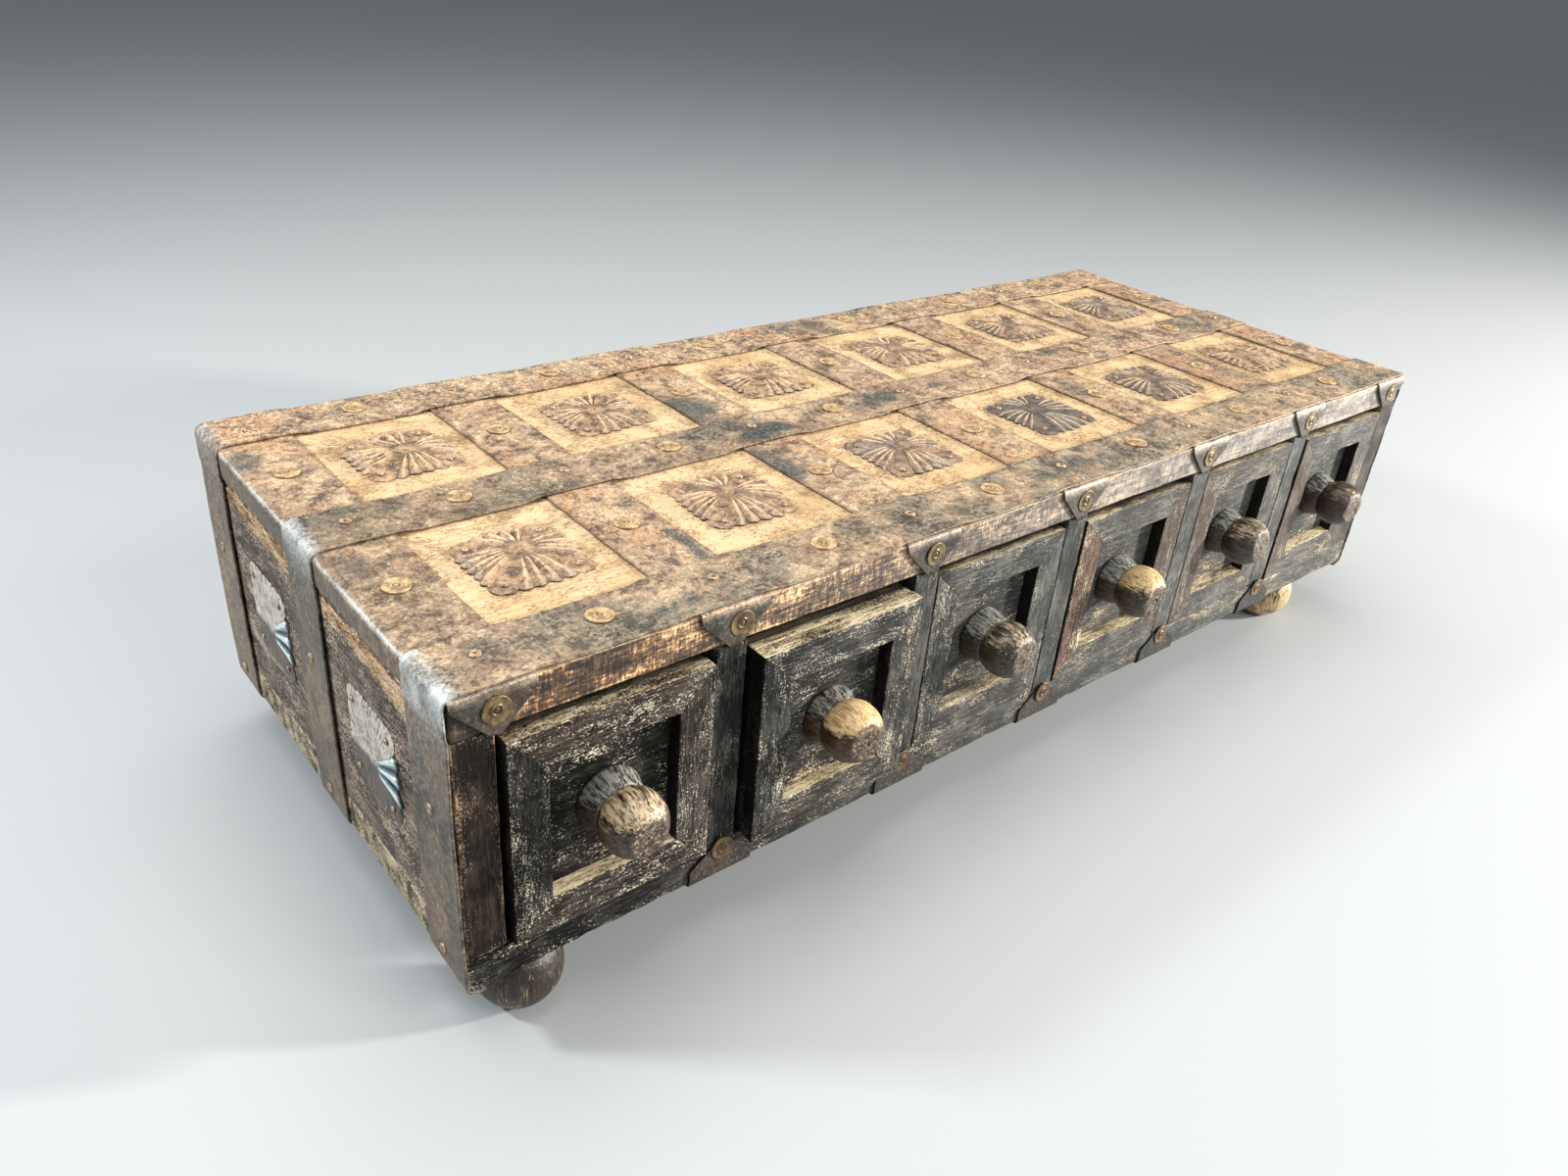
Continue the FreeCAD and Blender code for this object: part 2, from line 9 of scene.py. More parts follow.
import bmesh
import bpy
import numpy as np
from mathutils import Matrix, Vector


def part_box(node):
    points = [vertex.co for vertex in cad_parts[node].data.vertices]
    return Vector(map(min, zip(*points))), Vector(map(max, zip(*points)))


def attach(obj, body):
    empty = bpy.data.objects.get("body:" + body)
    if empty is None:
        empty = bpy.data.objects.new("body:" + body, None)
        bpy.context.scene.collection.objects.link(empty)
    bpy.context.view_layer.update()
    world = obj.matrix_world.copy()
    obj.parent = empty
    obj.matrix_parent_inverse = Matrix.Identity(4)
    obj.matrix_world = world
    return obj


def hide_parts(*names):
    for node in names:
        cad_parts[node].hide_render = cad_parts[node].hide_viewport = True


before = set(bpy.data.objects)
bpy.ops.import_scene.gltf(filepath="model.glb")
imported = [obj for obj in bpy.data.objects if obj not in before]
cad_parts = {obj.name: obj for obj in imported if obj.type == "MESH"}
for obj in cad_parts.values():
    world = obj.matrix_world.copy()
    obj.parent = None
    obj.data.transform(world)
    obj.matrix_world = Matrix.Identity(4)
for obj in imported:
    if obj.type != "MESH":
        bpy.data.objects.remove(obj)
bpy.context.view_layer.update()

MM = 0.001

# Wear of the boards
WOOD_ROUND = 0.7
TOP_END_ROUND = 2.2
EDGE_REACH = 6.0
LATTICE_NEAR = (0.0, 0.3, 0.7, 1.2, 1.9, 3.0)

# Straps
STRAP_T = 0.9
SEAT_GAP = 0.05
STEP_RAMP = 11.0
STRAP_LIFT = 0.55
END_BULGE = 0.9
NAIL_PRESS = 7.0
BEND_STEP = 0.5
RUN_STEP = 1.8
END_LIP_DROP = 10.5
TAB_SIDE = 3.0
TAB_TIP_W = 4.0
TAB_TIP_OVERLAP = 0.8
LOW_TAB_SIDE = 7.0
LOW_TAB_TIP_W = 2.0
LOW_TAB_TIP_OVERLAP = 2.0

# Drawers
MOULDING_W = 15.0
MITRE_GAP = 0.12
TRAY_WALL = 7.0


def millimetres(node):
    """The low and high corner of a CAD node."""
    low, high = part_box(node)
    return np.array(low) / MM, np.array(high) / MM


TOP_LOW, TOP_HIGH = millimetres("top_board")
BASE_LOW, BASE_HIGH = millimetres("bottom_board")
LEFT_X, RIGHT_X = TOP_LOW[0], TOP_HIGH[0]
FRONT_Y, BACK_Y = TOP_LOW[1], TOP_HIGH[1]
CEILING_Z, TOP_Z = TOP_LOW[2], TOP_HIGH[2]
SHELL_Z, FLOOR_Z = BASE_LOW[2], BASE_HIGH[2]
CROSS_BOXES = [millimetres(f"cross_strap_{n}") for n in range(1, 8)]
PARTITION_BOXES = [millimetres(f"partition_{n}") for n in range(1, 6)]
LONG_NAMES = ("front", "middle", "back")
LONG_BOXES = [millimetres(f"long_strap_{name}") for name in LONG_NAMES]
PARTITIONS = [(low[0] + high[0]) / 2 for low, high in PARTITION_BOXES]
CROSS_HALF = (CROSS_BOXES[1][1][0] - CROSS_BOXES[1][0][0]) / 2
CROSS_CENTRES = [LEFT_X + CROSS_HALF] + PARTITIONS + [RIGHT_X - CROSS_HALF]
LONG_HALF = (LONG_BOXES[0][1][1] - LONG_BOXES[0][0][1]) / 2
LONG_CENTRES = [(low[1] + high[1]) / 2 for low, high in LONG_BOXES]


# Noise, paths and meshes


def hashed(cells):
    """A number from -1 to 1 for each whole-number cell."""
    n = (cells[:, 0] * 73856093) ^ (cells[:, 1] * 19349663) ^ (cells[:, 2] * 83492791)
    n = (n << 13) ^ n
    with np.errstate(over="ignore"):
        n = (n * (n * n * 15731 + 789221) + 1376312589) & 0x7FFFFFFF
    return 1.0 - n / 1073741824.0


def field(points, size, seed=0):
    """Smooth noise from -1 to 1 over points, with bumps about that size across."""
    places = np.asarray(points, float).reshape(-1, 3) / size + seed * 17.31 + 911.7
    cell = np.floor(places).astype(np.int64)
    t = places - cell
    t = t * t * (3 - 2 * t)
    total = np.zeros(len(places))
    for corner in itertools.product((0, 1), repeat=3):
        weight = np.prod(np.where(np.array(corner), t, 1 - t), axis=1)
        total += weight * hashed(cell + np.array(corner))
    return total.reshape(np.asarray(points).shape[:-1])


def smooth(low, high, value):
    """0 below low, 1 above high and an S between."""
    t = np.clip((value - low) / (high - low), 0, 1)
    return t * t * (3 - 2 * t)


def piece(name, points, faces, body, slot, materials, nodes=(), **attributes):
    """A mesh object riding on a body, with per-vertex numbers that its material reads."""
    mesh = bpy.data.meshes.new(name)
    mesh.from_pydata((np.asarray(points) * MM).tolist(), [], [list(map(int, f)) for f in faces])
    mesh.polygons.foreach_set("use_smooth", [True] * len(mesh.polygons))
    for key, values in attributes.items():
        layer = mesh.attributes.new(key, "FLOAT", "POINT")
        layer.data.foreach_set("value", np.asarray(values, np.float32).ravel())
    for material in materials:
        mesh.materials.append(material)
    mesh.validate()
    mesh.update()
    thing = bpy.data.objects.new(name, mesh)
    bpy.context.scene.collection.objects.link(thing)
    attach(thing, body)
    if nodes:
        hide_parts(*nodes)
    return thing


class Heap:
    """Gathers many small closed forms into the points, faces and attributes of one mesh."""

    def __init__(self):
        self.points = []
        self.faces = []
        self.attributes = {}
        self.count = 0

    def add(self, points, faces, **attributes):
        points = np.asarray(points, float).reshape(-1, 3)
        self.points.append(points)
        self.faces.extend([[int(i) + self.count for i in face] for face in faces])
        for key, values in attributes.items():
            spread = np.broadcast_to(np.asarray(values, float), (len(points),))
            self.attributes.setdefault(key, []).append(spread)
        self.count += len(points)

    def finish(self, name, body, slot, materials, nodes=()):
        joined = {key: np.concatenate(parts) for key, parts in self.attributes.items()}
        points = np.concatenate(self.points)
        return piece(name, points, self.faces, body, slot, materials, nodes, **joined)


def islands(node):
    """The low and high corner of each separate solid in a CAD node."""
    mesh = bmesh.new()
    mesh.from_mesh(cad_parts[node].data)
    bmesh.ops.remove_doubles(mesh, verts=mesh.verts, dist=1e-6)
    mesh.verts.index_update()
    seen = set()
    boxes = []
    for start in mesh.verts:
        if start.index in seen:
            continue
        seen.add(start.index)
        stack = [start]
        found = []
        while stack:
            vertex = stack.pop()
            found.append(tuple(vertex.co))
            for edge in vertex.link_edges:
                other = edge.other_vert(vertex)
                if other.index not in seen:
                    seen.add(other.index)
                    stack.append(other)
        corners = np.array(found) / MM
        boxes.append((corners.min(0), corners.max(0)))
    mesh.free()
    return boxes


def grid_faces(grid, flip=False, closed=False):
    """Quads over a 2-D array of vertex numbers."""
    if closed:
        grid = np.concatenate([grid, grid[:, :1]], axis=1)
    quads = np.stack([grid[:-1, :-1], grid[1:, :-1], grid[1:, 1:], grid[:-1, 1:]], -1)
    quads = quads.reshape(-1, 4)
    return quads[:, ::-1].tolist() if flip else quads.tolist()


def lattice(length, step):
    """Grid lines along one side of a board, close together near both ends."""
    near = [line for line in LATTICE_NEAR if line < 0.35 * length]
    room = length - 2 * near[-1]
    inner = np.linspace(near[-1], length - near[-1], max(2, math.ceil(room / step)) + 1)
    return np.concatenate([near[:-1], inner, [length - line for line in near[-2::-1]]])


def board_form(low, high, step=4.0, rounds=WOOD_ROUND, chips=1.4, dent=0.12, seed=0):
    """A worn board: points, faces, the closeness to an edge and the facing of each point."""
    size = high - low
    lines = [lattice(length, step) for length in size]
    counts = [len(line) for line in lines]
    steps = np.meshgrid(*[np.arange(count) for count in counts], indexing="ij")
    shell = np.zeros(counts, bool)
    for axis in range(3):
        shell |= (steps[axis] == 0) | (steps[axis] == counts[axis] - 1)
    number = np.full(counts, -1)
    number[shell] = np.arange(shell.sum())
    flat = np.stack([lines[axis][steps[axis][shell]] for axis in range(3)], 1)
    faces = []
    for axis in range(3):
        turned = axis == 1
        faces += grid_faces(number.take(0, axis), flip=not turned)
        faces += grid_faces(number.take(-1, axis), flip=turned)
    place = flat + low
    radius = rounds * (1 + 0.45 * field(place, 9, seed))
    radius = radius + chips * smooth(0.45, 0.95, field(place, 4.5, seed + 3))
    radius = np.minimum(radius, 0.45 * size.min())[:, None]
    core = np.clip(flat, radius, size - radius)
    out = flat - core
    out /= np.maximum(np.linalg.norm(out, axis=1, keepdims=True), 1e-9)
    hollow = dent * (0.5 + 0.5 * field(place, 16, seed + 5))
    points = low + core + out * (radius - hollow[:, None])
    to_edge = np.sort(np.minimum(flat, size - flat), axis=1)[:, 1]
    return points, faces, np.clip(1 - to_edge / EDGE_REACH, 0, 1) ** 2.5, out


def board(name, low, high, body, slot, material, nodes=(), **options):
    """One worn board as its own piece."""
    bare = options.pop("bare", 0.0)
    points, faces, edge, _ = board_form(low, high, **options)
    shown = {"edge": edge, "bare": np.full(len(points), bare)}
    return piece(name, points, faces, body, slot, [material], nodes, **shown)


def bent_path(corners, radii):
    """Points and left normals along straight runs joined by arcs of the given radii."""
    corners = [np.array(corner, float) for corner in corners]
    points = []
    normals = []

    def run(start, end):
        along = (end - start) / np.linalg.norm(end - start)
        count = max(1, math.ceil(np.linalg.norm(end - start) / RUN_STEP))
        for share in np.linspace(0, 1, count + 1):
            points.append(start + (end - start) * share)
            normals.append(np.array([-along[1], along[0]]))

    start = corners[0]
    for before, corner, after, radius in zip(corners, corners[1:], corners[2:], radii):
        into = (corner - before) / np.linalg.norm(corner - before)
        away = (after - corner) / np.linalg.norm(after - corner)
        turn = math.atan2(into[0] * away[1] - into[1] * away[0], float(into @ away))
        cut = radius * math.tan(abs(turn) / 2)
        first = corner - into * cut
        side = math.copysign(1, turn)
        normal = np.array([-into[1], into[0]])
        centre = first + normal * radius * side
        run(start, first)
        count = max(3, math.ceil(radius * abs(turn) / BEND_STEP))
        for share in np.linspace(0, 1, count + 1)[1:-1]:
            angle = turn * share
            spin = np.array([[math.cos(angle), -math.sin(angle)], [math.sin(angle), math.cos(angle)]])
            points.append(centre + spin @ (first - centre))
            normals.append(spin @ normal)
        start = corner + away * cut
    run(start, corners[-1])
    return np.array(points), np.array(normals)


ACROSS = np.array([-1, -0.985, -0.955, -0.9, -0.8, -0.65, -0.5, -0.35, -0.2, -0.07, 0.07, 0.2,
                   0.35, 0.5, 0.65, 0.8, 0.9, 0.955, 0.985, 1])


def sheet_form(inner, outward, used=None):
    """A closed sheet over a grid of points: its under side, its upper side and its rim."""
    rows, columns = inner.shape[:2]
    outer = inner + outward * STRAP_T
    number = np.arange(rows * columns).reshape(rows, columns)
    if used is None:
        used = np.ones((rows - 1, columns - 1), bool)
    cells = np.argwhere(used)
    corners = [number[cells[:, 0] + a, cells[:, 1] + b] for a, b in ((0, 0), (1, 0), (1, 1), (0, 1))]
    quads = np.stack(corners, 1)
    shift = rows * columns
    edges = np.concatenate([quads[:, [k, (k + 1) % 4]] for k in range(4)])
    pairs = {tuple(edge) for edge in edges.tolist()}
    rim = [pair for pair in pairs if pair[::-1] not in pairs]
    faces = (quads + shift).tolist() + quads[:, ::-1].tolist()
    faces += [[a, b, b + shift, a + shift] for a, b in rim]
    points = np.concatenate([inner.reshape(-1, 3), outer.reshape(-1, 3)])
    kept = np.zeros(len(points), bool)
    kept[np.unique(np.concatenate([quads.ravel(), quads.ravel() + shift]))] = True
    renumber = np.cumsum(kept) - 1
    return points[kept], [[renumber[i] for i in face] for face in faces], kept


def from_nails(points, spots):
    """How far each point is from the nearest nail."""
    near = np.full(points.shape[:-1], 99.0)
    for spot in spots:
        near = np.minimum(near, np.linalg.norm(points - spot, axis=-1))
    return near


def scratchy_rim(points, seed):
    """A small in and out wander for a strap's edge."""
    return 0.55 * field(points, 34, seed) + 0.25 * field(points, 8, seed + 1)


# Fastener places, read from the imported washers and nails


def fastener_spots():
    """Washer and nail places with the way each faces, and the nails that hold no washer."""
    washers = []
    for low, high in islands("brass_washers"):
        washers.append(facing((low + high) / 2, high - low))
    strap_nails = []
    rosette_nails = []
    for low, high in islands("nails"):
        middle, out = facing((low + high) / 2, low - high)
        head = middle + out * (high - low)[np.argmax(np.abs(out))] / 2
        across = np.sort(high - low)[0]
        if any(np.linalg.norm(head - spot) < 4 for spot, _ in washers):
            continue
        (strap_nails if across > 4 else rosette_nails).append((head, out))
    return washers, strap_nails, rosette_nails


def facing(middle, size):
    """The axis with the least size, pointing away from the middle of the chest."""
    axis = int(np.argmin(size))
    centre = np.array([(LEFT_X + RIGHT_X) / 2, (FRONT_Y + BACK_Y) / 2, (SHELL_Z + TOP_Z) / 2])
    out = np.zeros(3)
    out[axis] = math.copysign(1, middle[axis] - centre[axis])
    return middle, out


WASHERS, STRAP_NAILS, ROSETTE_NAILS = fastener_spots()
PRESSED = [spot for spot, _ in WASHERS + STRAP_NAILS]


# Materials


def rgb(red, green, blue):
    """A colour given as 0 to 255 display values."""
    parts = [value / 255 for value in (red, green, blue)]
    linear = [p / 12.92 if p <= 0.04045 else ((p + 0.055) / 1.055) ** 2.4 for p in parts]
    return (*linear, 1.0)


class Paint:
    """One node material over the chest's own coordinates, with sizes in millimetres."""

    def __init__(self, name):
        self.material = bpy.data.materials.new(name)
        self.material.use_nodes = True
        self.nodes = self.material.node_tree.nodes
        self.links = self.material.node_tree.links
        self.nodes.clear()
        place = self.add("ShaderNodeVectorMath", operation="SCALE")
        self.links.new(self.add("ShaderNodeTexCoord").outputs["Object"], place.inputs[0])
        place.inputs["Scale"].default_value = 1 / MM
        self.place = place.outputs[0]

    def add(self, kind, **settings):
        node = self.nodes.new(kind)
        for key, value in settings.items():
            setattr(node, key, value)
        return node

    def put(self, socket, value):
        if isinstance(value, bpy.types.NodeSocket):
            self.links.new(value, socket)
        elif value is not None:
            socket.default_value = value

    def vector(self, operation, a, b):
        node = self.add("ShaderNodeVectorMath", operation=operation)
        self.put(node.inputs[0], a)
        self.put(node.inputs[1], b)
        return node.outputs[0]

    def noise(self, size, detail=3.0, rough=0.6, seed=0.0, bend=0.0):
        """Noise about 0, between -0.5 and 0.5, with bumps of a size or of one size per axis."""
        sizes = size if isinstance(size, tuple) else (size, size, size)
        scaled = self.vector("DIVIDE", self.place, sizes)
        moved = self.vector("ADD", scaled, (seed * 3.7, seed * 5.1, seed * 7.3))
        node = self.add("ShaderNodeTexNoise")
        self.put(node.inputs["Vector"], moved)
        node.inputs["Scale"].default_value = 1.0
        node.inputs["Detail"].default_value = detail
        node.inputs["Roughness"].default_value = rough
        node.inputs["Distortion"].default_value = bend
        return self.math("SUBTRACT", node.outputs["Fac"], 0.5)

    def math(self, operation, a, b=None):
        node = self.add("ShaderNodeMath", operation=operation)
        self.put(node.inputs[0], a)
        self.put(node.inputs[1], b)
        return node.outputs[0]

    def total(self, *terms):
        """The sum of plain numbers, sockets and (socket, weight) pairs."""
        result = None
        for term in terms:
            value = self.math("MULTIPLY", *term) if isinstance(term, tuple) else term
            result = value if result is None else self.math("ADD", result, value)
        return result

    def step(self, value, low, high, strength=1.0):
        """0 below low, then an S up to the strength at high. Low may be above high."""
        node = self.add("ShaderNodeMapRange", interpolation_type="SMOOTHSTEP")
        self.put(node.inputs["Value"], value)
        swapped = low > high
        node.inputs["From Min"].default_value = min(low, high)
        node.inputs["From Max"].default_value = max(low, high)
        node.inputs["To Min"].default_value = strength if swapped else 0.0
        node.inputs["To Max"].default_value = 0.0 if swapped else strength
        return node.outputs["Result"]

    def mix(self, a, b, factor, kind="MIX"):
        node = self.add("ShaderNodeMix", data_type="RGBA", blend_type=kind)
        self.put(node.inputs[0], factor)
        self.put(node.inputs[6], a)
        self.put(node.inputs[7], b)
        return node.outputs[2]

    def shade(self, color, value, low=0.7, high=1.25):
        """A colour darkened or lightened by noise about 0."""
        bright = self.add("ShaderNodeMapRange", clamp=False)
        self.put(bright.inputs["Value"], value)
        bright.inputs["From Min"].default_value = -0.25
        bright.inputs["From Max"].default_value = 0.25
        bright.inputs["To Min"].default_value = low
        bright.inputs["To Max"].default_value = high
        grey = self.add("ShaderNodeCombineColor")
        for socket in grey.inputs[:3]:
            self.put(socket, bright.outputs["Result"])
        return self.mix(color, grey.outputs[0], 1.0, "MULTIPLY")

    def attribute(self, name, strength=1.0):
        value = self.add("ShaderNodeAttribute", attribute_name=name).outputs["Fac"]
        return value if strength == 1.0 else self.math("MULTIPLY", value, strength)

    def eastward(self):
        """0 at the left end of the chest, 1 towards the right end."""
        split = self.add("ShaderNodeSeparateXYZ")
        self.put(split.inputs[0], self.place)
        return self.step(split.outputs["X"], LEFT_X, 0.5 * RIGHT_X)

    def finish(self, color, rough, height, depth, metal=None, shine=0.5):
        shader = self.add("ShaderNodeBsdfPrincipled")
        self.put(shader.inputs["Base Color"], color)
        self.put(shader.inputs["Roughness"], rough)
        self.put(shader.inputs["Metallic"], metal)
        shader.inputs["Specular IOR Level"].default_value = shine
        bump = self.add("ShaderNodeBump")
        bump.inputs["Distance"].default_value = depth * MM
        bump.inputs["Strength"].default_value = 1.0
        self.put(bump.inputs["Height"], height)
        self.put(shader.inputs["Normal"], bump.outputs["Normal"])
        output = self.add("ShaderNodeOutputMaterial")
        self.put(output.inputs["Surface"], shader.outputs["BSDF"])
        return self.material


def stretched(axis, along, across):
    """Noise sizes that are long on one axis."""
    return tuple(along if index == axis else across for index in range(3))


RAW = (rgb(250, 232, 190), rgb(120, 98, 68))
BASE_RAW = (rgb(228, 212, 178), rgb(136, 116, 90))
ORANGE = (rgb(206, 152, 96), rgb(140, 94, 56))
GRIME = rgb(86, 72, 58)
BLACK_COAT = (rgb(76, 74, 69), rgb(8, 8, 8))
BROWN_COAT = (rgb(66, 54, 45), rgb(20, 17, 15))
END_RAW = (rgb(222, 180, 124), rgb(116, 82, 52))
END_COAT = (rgb(138, 122, 108), rgb(54, 45, 41))
RED_COAT = (rgb(150, 106, 80), rgb(66, 46, 38))
# Painted sheen: the pale greys the coat turns to towards the right end, for the glare of the light there.
HAZE = (rgb(160, 160, 152), rgb(80, 83, 82))


def worn_wood(name, axis, fill, raw=RAW, coat=BLACK_COAT, speck=0.7, dots=1.0, dense=0.02, wisp=0.6,
              patchy=1.1, wear=0.3, east=0.0, haze=0.62, seed=0.0):
    """Raw grained wood, a grimy layer and a dark coat. fill says how much of the coat is left. Towards the right the
    coat greys as a painted sheen, and near black painted shade lies where the mesh asks for it.
    """
    paint = Paint(name)
    grain = paint.noise(stretched(axis, 16, 1.3), 5, 0.8, seed, 0.3)
    fibre = paint.noise(stretched(axis, 4, 0.7), 3, 0.75, seed + 1)
    patches = paint.noise(stretched(axis, 20, 9), 3, 0.6, seed + 2)
    specks = paint.noise(stretched(axis, speck * 1.5, speck), 2, 0.8, seed + 3)
    wisps = paint.noise(stretched(axis, 5, 0.6), 3, 0.7, seed + 4)
    tint = paint.noise(20, 3, 0.6, seed + 5)
    worn = paint.total(
        (patches, patchy), (wisps, wisp), (grain, 0.3), (paint.attribute("edge"), -wear),
        (paint.attribute("bare"), -1.0), (paint.eastward(), -east))
    left = paint.total(fill, (specks, 1.5), worn)
    dotted = paint.total((specks, 1.0), (fibre, 0.35), (worn, 0.5), (paint.attribute("bare"), 0.5))
    figure = paint.total(grain, (fibre, 0.9))
    color = paint.mix(*raw, paint.step(figure, -0.08, 0.14))
    color = paint.mix(color, GRIME, paint.step(left, -0.1, 0.04))
    worn_coat = paint.mix(*coat, paint.step(paint.total((tint, 0.6), grain, (fibre, 0.6)), -0.22, 0.1))
    # Painted sheen: the coat pales to grey towards the right end.
    hazed = paint.mix(*HAZE, paint.step(paint.total((tint, 0.6), grain, (fibre, 0.8)), -0.24, 0.1))
    worn_coat = paint.mix(worn_coat, hazed, paint.math("MULTIPLY", paint.eastward(), haze))
    red = paint.mix(*RED_COAT, paint.step(figure, -0.12, 0.12))
    worn_coat = paint.mix(worn_coat, red, paint.attribute("red", 0.7))
    color = paint.mix(color, worn_coat, paint.step(left, 0.0, 0.13))
    color = paint.shade(color, paint.total(figure, (specks, 0.6)), 0.6, 1.3)
    dot = paint.mix(raw[0], rgb(230, 228, 220), 0.55)
    fewer = paint.total(0.8 * dots, (paint.eastward(), -0.56 * dots))
    dotted = paint.math("MULTIPLY", paint.step(dotted, dense - 0.17, dense - 0.25), fewer)
    color = paint.mix(color, dot, dotted)
    # Near black painted shade where the mesh asks for it: in gaps, inside the bays and on faces turned away from the
    # key light.
    color = paint.mix(color, rgb(12, 11, 11), paint.attribute("soot", 0.9))
    rough = paint.total(0.52, (fibre, 0.4), paint.step(left, 0.1, -0.1, 0.2))
    height = paint.total((grain, 0.8), (fibre, 0.4), (specks, 0.5), paint.step(left, -0.05, 0.08, 0.25))
    return paint.finish(color, rough, height, 0.4, shine=0.1)


def rail_wood():
    """Orange brown board fronts with dark fibres and fine upright saw marks, greyer to the right."""
    paint = Paint("rail_wood")
    grain = paint.noise((18, 1.2, 1.2), 4, 0.72, 11, 0.3)
    patches = paint.noise((24, 9, 9), 3, 0.6, 13)
    saw = paint.noise((1.0, 6, 6), 3, 0.75, 14)
    specks = paint.noise((2.4, 1.2, 1.2), 3, 0.8, 15)
    worn = paint.total(0.03, (grain, 1.2), (patches, 1.3), (saw, 1.1), (specks, 1.0), paint.attribute("edge", 0.1))
    color = paint.mix(rgb(30, 23, 18), rgb(88, 64, 46), paint.step(worn, -0.25, 0.05))
    color = paint.mix(color, rgb(190, 144, 94), paint.step(worn, 0.04, 0.28))
    color = paint.mix(color, rgb(250, 224, 172), paint.step(worn, 0.22, 0.45))
    greyed = paint.mix(rgb(82, 77, 71), rgb(166, 158, 146), paint.step(worn, -0.3, 0.35))
    color = paint.mix(color, greyed, paint.math("MULTIPLY", paint.eastward(), 0.92))
    # Near black painted shadow on the front edge by the left end and on the end faces near the front.
    color = paint.mix(color, rgb(16, 14, 13), paint.attribute("soot", 0.9))
    height = paint.total((grain, 0.8), (specks, 0.5), (saw, 0.4))
    return paint.finish(color, paint.total(0.58, (grain, 0.3)), height, 0.3, shine=0.4)


def top_wood():
    """Pale dry ochre boards with grain along X, crackle lines, gathered dirt and painted shade beside the straps and
    round the rosettes.
    """
    paint = Paint("top_wood")
    grain = paint.noise((50, 1.3, 1.3), 5, 0.65, 1, 0.5)
    fibre = paint.noise((8, 0.4, 0.4), 2, 0.6, 2)
    blotch = paint.noise(11, 4, 0.65, 3, 0.3)
    wide = paint.noise(60, 2, 0.5, 4)
    crackle = paint.noise(5, 3, 0.6, 5, 0.8)
    pores = paint.noise((2.4, 0.9, 0.9), 3, 0.75, 6)
    lines = paint.step(paint.math("ABSOLUTE", crackle), 0.02, 0.0)
    figure = paint.total(grain, (fibre, 0.6), (wide, 0.5))
    color = paint.mix(rgb(230, 202, 158), rgb(182, 152, 110), paint.step(figure, -0.12, 0.16))
    # Dirt with painted shade beside the straps and round the rosettes.
    dirt = paint.total((blotch, 1.2), (pores, 1.5), paint.attribute("dirt", 0.16))
    color = paint.mix(color, rgb(158, 124, 90), paint.step(dirt, -0.04, 0.24, 0.8))
    color = paint.mix(color, rgb(118, 90, 64), paint.math("MULTIPLY", lines, paint.step(dirt, -0.2, 0.1, 0.75)))
    pits = paint.step(paint.total(pores, (blotch, 0.4), paint.attribute("dirt", 0.04)), 0.05, 0.13)
    color = paint.mix(color, rgb(110, 82, 58), paint.math("MULTIPLY", pits, 0.7))
    color = paint.shade(color, paint.total(figure, pores), 0.72, 1.18)
    height = paint.total((grain, 0.7), (fibre, 0.3), (pores, 0.4))
    return paint.finish(color, paint.total(0.58, (fibre, 0.3)), height, 0.3, shine=0.3)


def strap_iron():
    """Sheet iron: tan, rust and brown mottling, dark speckle in clusters and bare dark patches."""
    paint = Paint("strap_iron")
    wide = paint.noise(40, 2, 0.5, 1)
    cloud = paint.noise(12, 5, 0.72, 2, 0.5)
    other = paint.noise(7, 5, 0.75, 3, 0.5)
    spots = paint.noise(2.6, 4, 0.85, 4)
    fine = paint.noise(1.2, 3, 0.85, 5)
    tone = paint.total((cloud, 1.0), (other, 0.7), (spots, 0.8))
    color = paint.mix(rgb(96, 80, 66), rgb(160, 134, 106), paint.step(tone, -0.2, 0.0))
    color = paint.mix(color, rgb(200, 172, 136), paint.step(tone, -0.02, 0.16))
    orange = paint.total((wide, 1.4), (other, 1.3), (spots, 1.0), (fine, 0.7))
    color = paint.mix(color, rgb(196, 142, 100), paint.step(orange, 0.0, 0.28, 0.6))
    grey = paint.total(paint.attribute("grey"), (wide, 2.0), (other, 1.6), (spots, 1.0))
    steel = paint.mix(rgb(66, 64, 56), rgb(146, 138, 118), paint.step(tone, -0.16, 0.12))
    color = paint.mix(color, steel, paint.step(grey, 0.32, 0.62, 0.85))
    bright = paint.total(spots, (fine, 0.9), (cloud, 0.5), paint.attribute("pale", 0.1))
    color = paint.mix(color, rgb(226, 202, 166), paint.step(bright, 0.12, 0.3, 0.66))
    dark = paint.total((spots, -1.2), (fine, -0.7), (other, 0.7), (wide, 0.7), (cloud, 0.5))
    color = paint.mix(color, rgb(50, 44, 40), paint.step(dark, 0.16, 0.32, 0.85))
    patch = paint.total(paint.attribute("patch"), (other, 2.4), (spots, 1.6), (fine, 0.8))
    chipped = paint.mix(rgb(46, 50, 48), rgb(92, 96, 90), paint.step(fine, -0.1, 0.14))
    color = paint.mix(color, chipped, paint.step(patch, 0.5, 0.6, 0.86))
    color = paint.shade(color, paint.total(fine, (spots, 0.6)), 0.6, 1.3)
    # Darkened by multiplying: painted shade along the strap edges, darker down the tabs and over the ends, and grime.
    color = paint.mix(color, rgb(30, 26, 23), paint.attribute("dim", 0.9), "MULTIPLY")
    # Near white polish with a painted highlight on the bends, broken up by the speckle.
    shiny = paint.total(paint.attribute("polish"), (spots, 0.9), (fine, 1.2))
    color = paint.mix(color, rgb(216, 219, 217), paint.step(shiny, 0.0, 1.05, 0.95))
    color = paint.mix(color, rgb(50, 37, 30), paint.attribute("nail", 0.5))
    rough = paint.total(0.48, (cloud, 0.5), (fine, 0.4))
    metal = paint.total(0.1, paint.step(grey, 0.3, 0.9, 0.2), paint.attribute("polish", 0.15))
    height = paint.total((cloud, 0.5), (spots, 0.9), (fine, 0.7))
    return paint.finish(color, rough, height, 0.26, metal)


